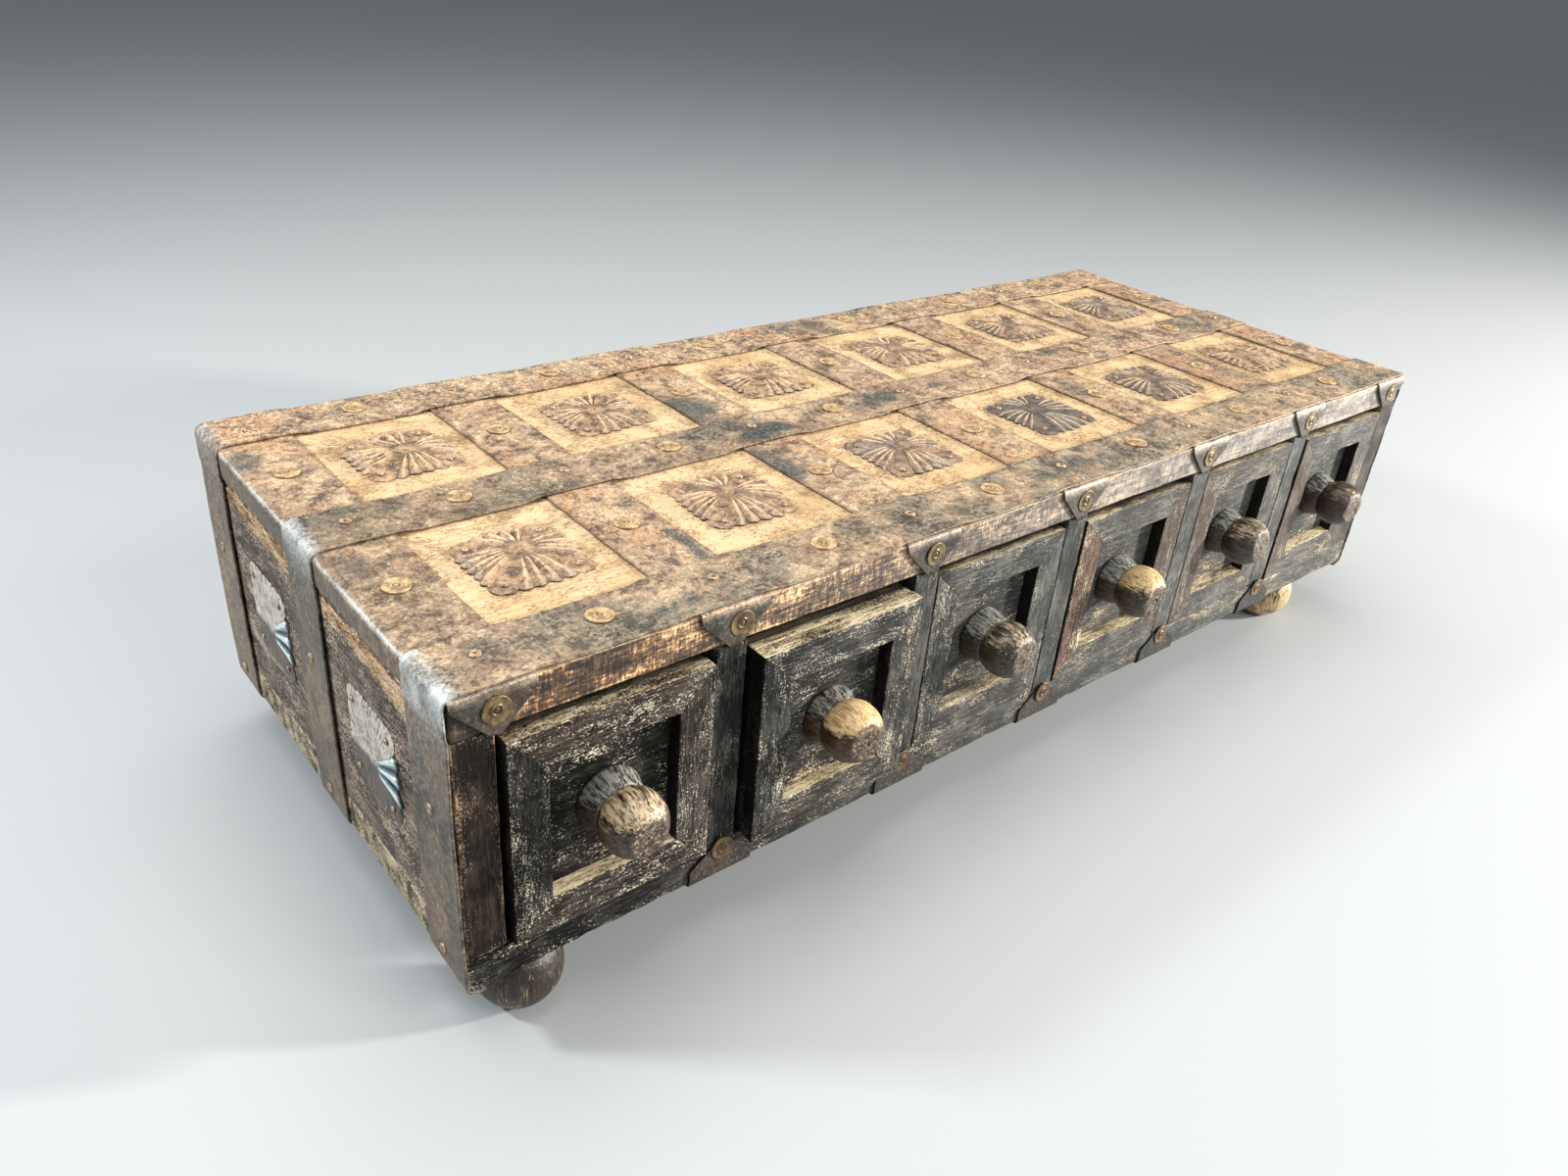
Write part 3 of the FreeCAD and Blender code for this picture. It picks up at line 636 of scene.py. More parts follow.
def rosette_iron():
    """Pressed sheet: tan brown patina, dark valleys, grey flute tips and teal steel flutes with a painted highlight
    above and painted shade below.
    """
    paint = Paint("rosette_iron")
    cloud = paint.noise(5, 5, 0.72, 11, 0.4)
    wide = paint.noise(20, 2, 0.5, 12)
    fine = paint.noise(1.1, 3, 0.8, 13)
    tone = paint.total(cloud, (fine, 0.5))
    brown = paint.mix(rgb(96, 76, 62), rgb(184, 150, 116), paint.step(tone, -0.2, 0.14))
    steel = paint.mix(rgb(70, 70, 68), rgb(176, 170, 160), paint.step(tone, -0.2, 0.14))
    share = paint.total(paint.attribute("grey"), (wide, 1.2), (cloud, 0.8), paint.attribute("tip", 0.3))
    color = paint.mix(brown, steel, paint.step(share, 0.3, 0.75))
    crest = paint.total(paint.attribute("crest"), (fine, 0.5), (cloud, 0.5))
    color = paint.mix(color, rgb(70, 74, 74), paint.attribute("gun", 0.9))
    # Paler ridge tops.
    color = paint.mix(color, rgb(226, 196, 156), paint.step(crest, 0.55, 1.0, 0.7))
    color = paint.mix(color, rgb(74, 72, 70), paint.attribute("tip", 0.5))
    fan = paint.total(tone, paint.attribute("ray", 0.35))
    pale = paint.mix(rgb(96, 90, 84), rgb(212, 204, 192), paint.step(fan, -0.1, 0.34))
    color = paint.mix(color, pale, paint.attribute("pale", 0.9))
    # Teal flutes: painted highlight along the upper side of each and painted shade along the lower side.
    shining = paint.mix(rgb(16, 26, 30), rgb(112, 150, 158), paint.step(paint.attribute("crest"), 0.05, 0.5))
    shining = paint.mix(shining, rgb(238, 252, 253), paint.step(paint.attribute("crest"), 0.6, 1.0))
    color = paint.mix(color, shining, paint.attribute("teal", 0.95))
    valley = paint.step(paint.attribute("ridge"), 0.5, 0.1, 0.9)
    cut = paint.total(1.0, paint.attribute("pale", -0.8), paint.attribute("teal", -1.0))
    color = paint.mix(color, rgb(50, 38, 32), paint.math("MULTIPLY", valley, cut))
    color = paint.mix(color, rgb(70, 60, 54), paint.attribute("dull", 0.85))
    color = paint.shade(color, paint.total(fine, (cloud, 0.4)), 0.68, 1.26)
    color = paint.mix(color, rgb(40, 31, 26), paint.attribute("nail", 0.5))
    rough = paint.total(0.44, (cloud, 0.5), paint.attribute("teal", -0.15))
    metal = paint.total(0.08, paint.step(share, 0.35, 0.7, 0.15), paint.attribute("teal", 0.3))
    return paint.finish(color, rough, paint.total((cloud, 0.5), (fine, 0.6)), 0.14, metal)


def washer_brass():
    """Dull olive brass with painted shade and grime in its recesses and round its rim, or tan as the straps where it
    is rusted over.
    """
    paint = Paint("washer_brass")
    cloud = paint.noise(3, 3, 0.6, 21)
    fine = paint.noise(0.8, 2, 0.7, 22)
    color = paint.mix(rgb(84, 69, 44), rgb(136, 114, 74), paint.step(cloud, -0.12, 0.12))
    color = paint.mix(color, rgb(96, 70, 52), paint.attribute("rusty", 0.8))
    tan = paint.mix(rgb(150, 118, 84), rgb(206, 176, 130), paint.step(cloud, -0.12, 0.12))
    color = paint.mix(color, tan, paint.attribute("tan"))
    # Painted shade with grime in the recesses and round the rim.
    color = paint.mix(color, rgb(52, 40, 28), paint.attribute("deep", 0.85))
    color = paint.shade(color, fine, 0.8, 1.15)
    rough = paint.total(0.36, (cloud, 0.3), (fine, 0.3), paint.attribute("tan", 0.15))
    metal = paint.total(0.45, paint.attribute("tan", -0.35))
    return paint.finish(color, rough, paint.total((cloud, 0.4), (fine, 0.6)), 0.06, metal)


def nail_iron():
    """Worn nail heads: a pale ring round a dark middle; the middle and the underside carry painted shade with grime.
    """
    paint = Paint("nail_iron")
    cloud = paint.noise(2, 3, 0.6, 31)
    color = paint.mix(rgb(206, 176, 142), rgb(138, 108, 84), paint.step(cloud, -0.1, 0.1))
    # Painted shade with grime in the middle and under the head.
    color = paint.mix(color, rgb(30, 24, 21), paint.attribute("deep", 0.9))
    return paint.finish(color, paint.total(0.45, (cloud, 0.3)), cloud, 0.1, metal=0.2)


def turned_wood(name, axis, fill, gold, coat, seed, cap=0.5):
    """A turned piece: worn golden wood under a dark coat, a grey collar and a grainy end."""
    paint = Paint(name)
    grain = paint.noise(stretched(axis, 22, 1.3), 4, 0.75, seed, 0.2)
    fibre = paint.noise(stretched(axis, 9, 0.7), 3, 0.75, seed + 1)
    patches = paint.noise(stretched(axis, 12, 6), 3, 0.6, seed + 2)
    pores = paint.noise(1.2, 3, 0.8, seed + 3)
    figure = paint.total(grain, (fibre, 0.8))
    # Bare shows worn wood, and on the knobs' tops a painted highlight.
    left = paint.total(fill, (patches, 0.8), (grain, 1.2), (fibre, 0.9), paint.attribute("bare", -1.0))
    bare = paint.mix(*gold, paint.step(figure, -0.16, 0.18))
    ash = paint.mix(rgb(176, 176, 164), rgb(56, 58, 56), paint.step(figure, -0.14, 0.12))
    bare = paint.mix(bare, ash, paint.attribute("collar"))
    under = paint.mix(*coat, paint.step(figure, -0.16, 0.12))
    color = paint.mix(bare, under, paint.step(left, -0.16, 0.24))
    ends = paint.mix(rgb(44, 34, 28), rgb(190, 166, 136), paint.step(pores, cap - 0.52, cap - 0.32))
    color = paint.mix(color, ends, paint.attribute("facet", 0.8))
    color = paint.shade(color, figure, 0.72, 1.25)
    # Near black painted shade in the knob's groove and where knob and foot meet the wood.
    color = paint.mix(color, rgb(14, 13, 12), paint.attribute("deep", 0.9))
    rough = paint.total(0.34, (fibre, 0.4), paint.attribute("facet", 0.25))
    height = paint.total((grain, 0.9), (fibre, 0.5), (pores, 0.4))
    return paint.finish(color, rough, height, 0.3, shine=0.5)


def plain(name, color, roughness):
    """A plain surface for the stage."""
    material = bpy.data.materials.new(name)
    material.use_nodes = True
    shader = material.node_tree.nodes["Principled BSDF"]
    shader.inputs["Base Color"].default_value = color
    shader.inputs["Roughness"].default_value = roughness
    return material


# Boards of the carcass


RAW_END = 0.34


def carcass(palette):
    """All the boards that don't move."""
    low, high = TOP_LOW.copy(), TOP_HIGH.copy()
    points, faces, edge, out = board_form(low, high, step=3.0, rounds=1.1, chips=0.6, seed=2)
    dirt = top_dirt(points)
    # The top board's front and end faces carry painted shadow: near the left end and near the front corners of the
    # ends.
    top = piece("top_board_worn", points, faces, "carcass", "top_wood",
                [palette["top"], palette["rail"]], ["top_board"],
                edge=edge, dirt=dirt, bare=np.zeros(len(points)),
                soot=np.where(np.abs(out[:, 0]) > 0.5, smooth(FRONT_Y + 3, FRONT_Y + 0.5, points[:, 1]),
                              smooth(LEFT_X + 24, LEFT_X + 16, points[:, 0])))
    tops = [out[face[0]][2] + out[face[2]][2] > 1.0 for face in faces]
    top.data.polygons.foreach_set("material_index", [0 if up else 1 for up in tops])
    points, faces, edge, out = board_form(BASE_LOW, BASE_HIGH, seed=5, rounds=1.0)
    piece("bottom_board_worn", points, faces, "carcass", "carcass_wood", [palette["base"]],
          ["bottom_board"], edge=edge, bare=RAW_END * (np.abs(out[:, 0]) > 0.5))
    for side, seed in (("left", 7), ("right", 9)):
        low, high = millimetres(f"side_{side}")
        points, faces, edge, out = board_form(low, high, seed=seed, rounds=0.9)
        under_top = smooth(CEILING_Z - 13, CEILING_Z - 5, points[:, 2] + 4 * field(points, 9, seed))
        thing = piece(f"side_{side}_worn", points, faces, "carcass", "carcass_wood",
                      [palette["side"], palette["end"]], [f"side_{side}"], edge=edge,
                      bare=0.38 * under_top * (np.abs(out[:, 0]) > 0.5))
        across = [abs(out[face[0]][0] + out[face[2]][0]) > 1.0 for face in faces]
        thing.data.polygons.foreach_set("material_index", [int(flat) for flat in across])
    low, high = millimetres("back_board")
    board("back_board_worn", low, high, "carcass", "carcass_wood", palette["back"],
          ["back_board"], seed=11)
    for number, (low, high) in enumerate(PARTITION_BOXES, 1):
        board(f"partition_{number}_worn", low, high, "carcass", "carcass_wood",
              palette["partition"], [f"partition_{number}"], seed=12 + number, step=6.0)


def top_dirt(points):
    """How much dirt and painted shade lie on the top's bare cells: along the strap edges round them and round each
    rosette.
    """
    near_cross = np.min([np.abs(np.abs(points[:, 0] - c) - CROSS_HALF) for c in CROSS_CENTRES], 0)
    near_long = np.min([np.abs(np.abs(points[:, 1] - c) - LONG_HALF) for c in LONG_CENTRES], 0)
    rim = np.exp(-np.minimum(near_cross, near_long) / 2.0)
    centres = cell_centres()
    to_rosette = np.full(len(points), 99.0)
    for x, y in centres:
        away = np.maximum(np.abs(points[:, 0] - x), np.abs(points[:, 1] - y)) - 21
        to_rosette = np.minimum(to_rosette, np.maximum(away, 0))
    return np.clip(rim + np.exp(-to_rosette / 3.0), 0, 1)


def cell_centres():
    """The middle of each bare cell on the top."""
    xs = [(a + b) / 2 for a, b in zip(CROSS_CENTRES, CROSS_CENTRES[1:])]
    ys = [(a + b) / 2 for a, b in zip(LONG_CENTRES, LONG_CENTRES[1:])]
    return [(x, y) for y in ys for x in xs]


# Sheet metal


def covered(x):
    """How far over the wood a lengthwise strap lies at each x: one sheet on a cross strap."""
    cover = np.zeros_like(x)
    for centre in CROSS_CENTRES:
        cover = np.maximum(cover, 1 - smooth(CROSS_HALF + 1, CROSS_HALF + STEP_RAMP, np.abs(x - centre)))
    return cover * (STRAP_T + SEAT_GAP)


def long_strap(index, material):
    """A lengthwise strap over the top, down both ends and tucked under."""
    name = LONG_NAMES[index]
    centre = LONG_CENTRES[index]
    tuck = 6.0
    corners = [(LEFT_X + tuck, SHELL_Z), (LEFT_X, SHELL_Z), (LEFT_X, TOP_Z), (RIGHT_X, TOP_Z),
               (RIGHT_X, SHELL_Z), (RIGHT_X - tuck, SHELL_Z)]
    path, normal = bent_path(corners, (1.6, TOP_END_ROUND, TOP_END_ROUND, 1.6))
    rows, columns = len(path), len(ACROSS)
    base = np.zeros((rows, columns, 3))
    base[..., 0] = path[:, :1]
    base[..., 2] = path[:, 1:]
    outward = np.zeros_like(base)
    outward[..., 0] = normal[:, :1]
    outward[..., 2] = normal[:, 1:]
    base[..., 1] = centre + ACROSS * LONG_HALF
    wander = scratchy_rim(base * (1, 0.2, 1), 40 + index)
    wander -= 0.7 * covered(base[..., 0]) * np.sign(ACROSS) * (index != 0)
    base[..., 1] += wander * np.abs(ACROSS) ** 3
    base[..., 1] = np.clip(base[..., 1], FRONT_Y - 0.4, BACK_Y + 0.4)
    on_end = np.minimum(base[..., 0] - LEFT_X, RIGHT_X - base[..., 0]) < TOP_END_ROUND - 0.01
    drop = TOP_Z - base[..., 2]
    lip = 1 - smooth(END_LIP_DROP, END_LIP_DROP + 5, drop)
    rise = np.where(on_end & (drop > 0.01), lip * (STRAP_T + SEAT_GAP), covered(base[..., 0]))
    spots = [spot for spot in PRESSED if abs(spot[1] - centre) < LONG_HALF + 6]
    near = from_nails(base + outward * STRAP_T, spots)
    free = 1 - np.exp(-(near / NAIL_PRESS) ** 2)
    lift = STRAP_LIFT * free * (0.55 + 0.45 * field(base, 17, 50 + index))
    height = (base[..., 2] - SHELL_Z) / (TOP_Z - SHELL_Z)
    bulge = END_BULGE * np.sin(np.clip(height, 0, 1) * math.pi) ** 0.7 * (0.4 + 0.6 * free)
    lift = np.where(on_end & (drop > 0.01), bulge * (0.75 + 0.25 * ACROSS ** 2), lift)
    top_limit = np.where(on_end, 1.0, 0.75)
    lift = np.clip(lift, 0, top_limit)
    lift *= smooth(SHELL_Z - 0.1, SHELL_Z + 4, base[..., 2])
    lift = np.where(on_end, np.clip(lift, 0, np.maximum(END_BULGE - rise, 0)), lift)
    inner = base + outward * (rise + lift)[..., None]
    points, faces, kept = sheet_form(inner, outward)
    edge = np.broadcast_to(smooth(0.8, 1.0, np.abs(ACROSS)), (rows, columns))
    near = from_nails(inner + outward * STRAP_T, spots)
    upper = smooth(SHELL_Z + 10, TOP_Z - 30, base[..., 2])
    grime = (0.14, 0.34, 0.08)[index] * smooth(100, -200, base[..., 0]) * (1 + field(base, 45, 9))
    grey = np.where(on_end, (0.35 + 0.35 * upper) * (1.0, 0.8, 0.4)[index], (0.44, 0.26, -0.05)[index])
    bend = np.exp(-((base[..., 0] - LEFT_X) / 4) ** 2 - np.maximum(drop, 0) / 13)
    shown = {
        "edge": edge,
        "nail": np.exp(-np.maximum(near - 2.2, 0) / 1.3),
        "grey": grey + 0.25 * field(base, 60, 3),
        "patch": strap_patches(inner),
        # Polish with a painted highlight on the bend over the left end, strongest on the front strap.
        "polish": bend * (1.12, 0.56, 0.35)[index] * (0.85 + 0.5 * field(base, 6, 7)),
        # Darker over the ends, painted shade along both edges, and grime towards the left.
        "dim": np.where(on_end, 0.6, np.maximum(0.4 * smooth(0.9, 1.0, np.abs(ACROSS)), grime)),
        "pale": np.full(edge.shape, (0.0, 0.1, 0.8)[index]),
    }
    doubled = {key: np.concatenate([v.ravel(), v.ravel()])[kept] for key, v in shown.items()}
    piece(f"long_strap_{name}_sheet", points, faces, "carcass", "strap_iron", [material],
          [f"long_strap_{name}"], **doubled)


# Where the patina has come off a strap in a dark patch: x and y on the top, half its size, strength
DARK_PATCHES = (
    (-103, 47, 10, 15, 1.1), (-88, 8, 13, 8, 1.0), (-12, 11, 13, 7, 0.95), (30, 14, 9, 4, 0.6),
    (128, 20, 15, 5, 0.75), (-106, -25, 7, 18, 0.95), (-182, -63, 3, 15, 1.0), (95, -23, 8, 18, 0.6),
    (192, 65, 8, 10, 0.7), (202, -38, 7, 26, 0.6), (23, 120, 30, 9, 0.65), (-295, 84, 6, 10, 0.7),
    (-292, -20, 6, 14, 0.6), (8, -94, 32, 9, 0.72), (-210, -100, 24, 5, 0.55), (262, 10, 22, 11, 0.55),
)


def strap_patches(points):
    """The strength of the dark patches at each point on the top."""
    strength = np.zeros(points.shape[:-1])
    for x, y, half_x, half_y, depth in DARK_PATCHES:
        reach = ((points[..., 0] - x) / half_x) ** 2 + ((points[..., 1] - y) / half_y) ** 2
        strength = np.maximum(strength, depth * np.exp(-reach * 0.6))
    return strength


def tab_shape(path, side_z, tip_z, tip_w):
    """A path with its nearest points moved to a tab's corners, and its half width at each point."""
    path = path.copy()
    for run in (path[: len(path) // 2], path[len(path) // 2:]):
        run[np.argmin(np.abs(run[:, 1] - side_z)), 1] = side_z
    share = np.clip((path[:, 1] - side_z) / (tip_z - side_z), 0, 1)
    return path, CROSS_HALF + (tip_w / 2 - CROSS_HALF) * share


def cross_strap(number, material):
    """A cross strap over the top with pointed tabs; the end ones also fold over the end."""
    centre = CROSS_CENTRES[number - 1]
    tip_z = CEILING_Z - TAB_TIP_OVERLAP
    corners = [(FRONT_Y, tip_z), (FRONT_Y, TOP_Z), (BACK_Y, TOP_Z), (BACK_Y, tip_z)]
    path, normal = bent_path(corners, (1.3, 1.3))
    path, half = tab_shape(path, TOP_Z - TAB_SIDE, tip_z, TAB_TIP_W)
    side = {1: -1, 7: 1}.get(number, 0)
    columns = ACROSS if side >= 0 else ACROSS[::-1]
    flat_count = len(columns)
    lip_angles = np.radians([18, 36, 54, 72, 90])
    lip_drops = np.linspace(0, END_LIP_DROP - TOP_END_ROUND, 7)[1:]
    extra = len(lip_angles) + len(lip_drops) if side else 0
    rows = len(path)
    base = np.zeros((rows, flat_count + extra, 3))
    outward = np.zeros_like(base)
    reach = columns[None, :] * half[:, None]
    base[:, :flat_count, 0] = centre + reach
    base[:, :flat_count, 1] = path[:, :1]
    base[:, :flat_count, 2] = path[:, 1:]
    outward[:, :flat_count, 1] = normal[:, :1]
    outward[:, :flat_count, 2] = normal[:, 1:]
    if side:
        on_top = path[:, 1] > TOP_Z - 0.01
        end_x = LEFT_X if side < 0 else RIGHT_X
        limit = abs(end_x - centre) - TOP_END_ROUND
        squeezed = np.where(reach * side > 0, reach * limit / CROSS_HALF, reach)
        base[:, :flat_count, 0] = centre + np.where(on_top[:, None], squeezed, reach)
        corner_x = end_x - side * TOP_END_ROUND
        for index, angle in enumerate(lip_angles):
            column = flat_count + index
            base[:, column, 0] = corner_x + side * TOP_END_ROUND * math.sin(angle)
            base[:, column, 1] = path[:, 0]
            base[:, column, 2] = TOP_Z - TOP_END_ROUND * (1 - math.cos(angle))
            outward[:, column] = (side * math.sin(angle), 0, math.cos(angle))
        for index, drop in enumerate(lip_drops):
            column = flat_count + len(lip_angles) + index
            base[:, column] = np.stack([np.full(rows, end_x), path[:, 0],
                                        np.full(rows, TOP_Z - TOP_END_ROUND - drop)], 1)
            outward[:, column] = (side, 0, 0)
        base[:, -1, 2] += 0.8 * field(base[:, -1], 12, 70 + number)
    wander = scratchy_rim(base * (0.2, 1, 0.2), 60 + number)
    shape = np.zeros(flat_count + extra)
    shape[:flat_count] = np.abs(columns) ** 3 * np.where(columns * side > 0, 0, 1)
    base[..., 0] += wander * shape
    spots = [spot for spot in PRESSED if abs(spot[0] - centre) < CROSS_HALF + 4]
    near = from_nails(base + outward * STRAP_T, spots)
    free = 1 - np.exp(-(near / NAIL_PRESS) ** 2)
    clear = np.min([smooth(LONG_HALF + 1, LONG_HALF + 9, np.abs(base[..., 1] - c))
                    for c in LONG_CENTRES], 0)
    on_front = base[..., 2] < TOP_Z - 1.3
    lift = STRAP_LIFT * free * (0.5 + 0.5 * field(base, 15, 80 + number))
    lift = np.where(on_front, 0.35 * free + 0.25, lift * clear)
    if side:
        lift[:, flat_count:] *= 0.5
        lift[:, flat_count:] = np.where(clear[:, flat_count:] > 0, lift[:, flat_count:], 0)
    inner = base + outward * np.clip(lift, 0, 0.8)[..., None]
    used = np.ones((rows - 1, flat_count + extra - 1), bool)
    if side:
        on_run = (path[:, 0] > FRONT_Y + 1.6) & (path[:, 0] < BACK_Y - 1.6)
        used[:, flat_count - 1:] = (on_run[:-1] & on_run[1:])[:, None]
    if side < 0:
        inner, outward, used = inner[::-1], outward[::-1], used[::-1]
        base = base[::-1]
        near = near[::-1]
    points, faces, kept = sheet_form(inner, outward, used)
    edge = np.zeros((rows, flat_count + extra))
    edge[:, :flat_count] = smooth(0.82, 1.0, np.abs(columns)) * np.where(columns * side > 0, 0, 1)
    edge[:, -1:] = 1.0 if side else edge[:, -1:]
    drop = np.clip((TOP_Z - 0.3 - base[..., 2]) / 2, 0, 1)
    over_end = smooth(0.5, 2.5, TOP_Z - base[..., 2]) * (np.arange(flat_count + extra) >= flat_count)
    drop = drop * (np.arange(flat_count + extra) < flat_count)
    grime = 0.4 * (number == 1) * smooth(60, -60, base[..., 1]) * (1 + field(base, 30, 9))
    shown = {
        "edge": edge,
        "nail": np.exp(-np.maximum(near - 2.2, 0) / 1.3),
        "grey": np.clip(np.maximum(0.4 * drop, 0.3 * over_end) + 0.2 * field(base, 50, 4), 0, 1),
        "patch": strap_patches(inner),
        # Polish with a painted highlight along the fold at the front edge and along the top of the end lip.
        "polish": np.maximum(
            0.32 * np.exp(-((drop - 0.1) / 0.12) ** 2) * (base[..., 1] < FRONT_Y + 3),
            (0.55 + 0.4 * field(base, 9, 8)) * np.exp(-((base[..., 2] - TOP_Z + 0.9) / 0.7) ** 2)
            * (over_end > 0)),
        # Darker down the tabs and over the end lip, painted shade along the edges, and grime on the first strap.
        "dim": np.max([0.93 * drop, 0.4 * edge ** 2, 0.66 * over_end, grime + 0 * drop], 0),
    }
    doubled = {key: np.concatenate([v.ravel(), v.ravel()])[kept] for key, v in shown.items()}
    piece(f"cross_strap_{number}_sheet", points, faces, "carcass", "strap_iron", [material],
          [f"cross_strap_{number}"], **doubled)


def underside_straps(material):
    """The straps under the bottom board with tabs folded up the front and the back."""
    heap = Heap()
    tip_z = FLOOR_Z + LOW_TAB_TIP_OVERLAP
    for index, centre in enumerate(PARTITIONS):
        corners = [(BACK_Y, tip_z), (BACK_Y, SHELL_Z), (FRONT_Y, SHELL_Z), (FRONT_Y, tip_z)]
        path, normal = bent_path(corners, (1.2, 1.2))
        path, half = tab_shape(path, SHELL_Z + LOW_TAB_SIDE, tip_z, LOW_TAB_TIP_W)
        base = np.zeros((len(path), len(ACROSS), 3))
        base[..., 0] = centre + ACROSS * half[:, None]
        base[..., 1] = path[:, :1]
        base[..., 2] = path[:, 1:]
        outward = np.zeros_like(base)
        outward[..., 1] = normal[:, :1]
        outward[..., 2] = normal[:, 1:]
        base[..., 0] += scratchy_rim(base * (0.2, 1, 0.2), 90 + index) * np.abs(ACROSS) ** 3
        spots = [spot for spot in PRESSED if abs(spot[0] - centre) < CROSS_HALF + 4]
        near = from_nails(base + outward * STRAP_T, spots)
        lift = 0.3 * (1 - np.exp(-(near / NAIL_PRESS) ** 2))
        inner = base + outward * lift[..., None]
        points, faces, kept = sheet_form(inner, outward)
        edge = np.broadcast_to(smooth(0.82, 1.0, np.abs(ACROSS)), base.shape[:2])
        nail = np.exp(-np.maximum(near - 2.2, 0) / 1.3)
        # The low tabs are darkened all over.
        plain_values = {"edge": edge, "nail": nail, "grey": np.full(edge.shape, 0.1 + 0.12 * index),
                        "dim": np.full(edge.shape, 1.0), "patch": np.full(edge.shape, 0.4 * (index > 0))}
        doubled = {k: np.concatenate([v.ravel(), v.ravel()])[kept] for k, v in plain_values.items()}
        heap.add(points, faces, **doubled)
    heap.finish("underside_straps_sheet", "carcass", "strap_iron", [material], ["underside_straps"])


# Rosettes

ROSETTE_HALF = 20.2
LOBE_AT = 15.2
LOBE_R = 5.6
# The bottom, left, top and right side of a plate: its flutes, their height and how teal they are
TOP_FLUTES = ((4, 1.0, 0.0), (5, 1.0, 0.0), (4, 0.7, 0.0), (4, 0.9, 0.0))
END_FLUTES = ((4, 0.15, 0.0), (5, 0.3, 0.0), (6, 0.35, 0.0), (3, 1.7, 1.0))
# Each top rosette: how grey it is and how much of it is dark gun grey
TOP_ROSETTES = (
    (0.1, 0.05), (0.15, 0.0), (0.05, 0.1), (0.1, 0.1), (0.3, 0.3), (0.1, 0.0),
    (0.3, 0.8), (0.15, 0.15), (0.3, 0.55), (0.2, 0.15), (0.1, 0.05), (0.3, 0.4),
)
ROSETTE_PLATE = 0.4
RAYS = 192
RINGS = 30


def rosette_outline(focus, flutes):
    """Each ray from the focus to the rim: its way, length, ripple, share of teal and if it is fluted."""
    angles = np.linspace(0, 2 * math.pi, RAYS, endpoint=False)
    across = np.cos(angles)
    up = np.sin(angles)
    across = np.where(np.abs(across) < 1e-6, 1e-6, across)
    up = np.where(np.abs(up) < 1e-6, 1e-6, up)
    to_side = (ROSETTE_HALF * np.sign(across) - focus[0]) / across
    to_end = (ROSETTE_HALF * np.sign(up) - focus[1]) / up
    reach = np.minimum(to_side, to_end)
    rim_x = focus[0] + across * reach
    rim_y = focus[1] + up * reach
    on_side = to_side < to_end
    along = np.where(on_side, rim_y, rim_x)
    inner_run = LOBE_AT - LOBE_R * 0.62
    phase = (along + inner_run) / (2 * inner_run)
    places = [~on_side & (up < 0), on_side & (across < 0), ~on_side & (up > 0)]
    number, height, teal = (np.select(places, row[:3], row[3]) for row in zip(*flutes))
    between = (phase > 0) & (phase < 1)
    ripple = np.where(between, np.abs(np.sin(phase * number * math.pi)), 0.0)
    reach = reach + np.where(between, (1.7 + 1.8 * (teal > 0)) * (ripple - 0.15), 0.0)
    corner_x = np.sign(rim_x) * LOBE_AT
    corner_y = np.sign(rim_y) * LOBE_AT
    off_x = corner_x - focus[0]
    off_y = corner_y - focus[1]
    middle = off_x * across + off_y * up
    inside = LOBE_R ** 2 - (off_x ** 2 + off_y ** 2 - middle ** 2)
    lobe = np.where(inside > 0, middle + np.sqrt(np.maximum(inside, 0)), 0)
    reach = np.where(between, reach, np.maximum(lobe, reach * 0.93))
    # On teal flutes these numbers give a painted highlight on the upper side of each flute and painted shade on the
    # lower; elsewhere they mark the ridge tops.
    within = (phase * number) % 1.0
    lit = smooth(0.05, 0.7, within) * (1 - smooth(0.88, 1.0, within))
    crest = np.where(teal > 0, lit, ripple ** 2) * between
    fine = np.abs(np.sin(angles * 34))
    return across, up, reach, ripple * height, teal * between, between, crest, fine


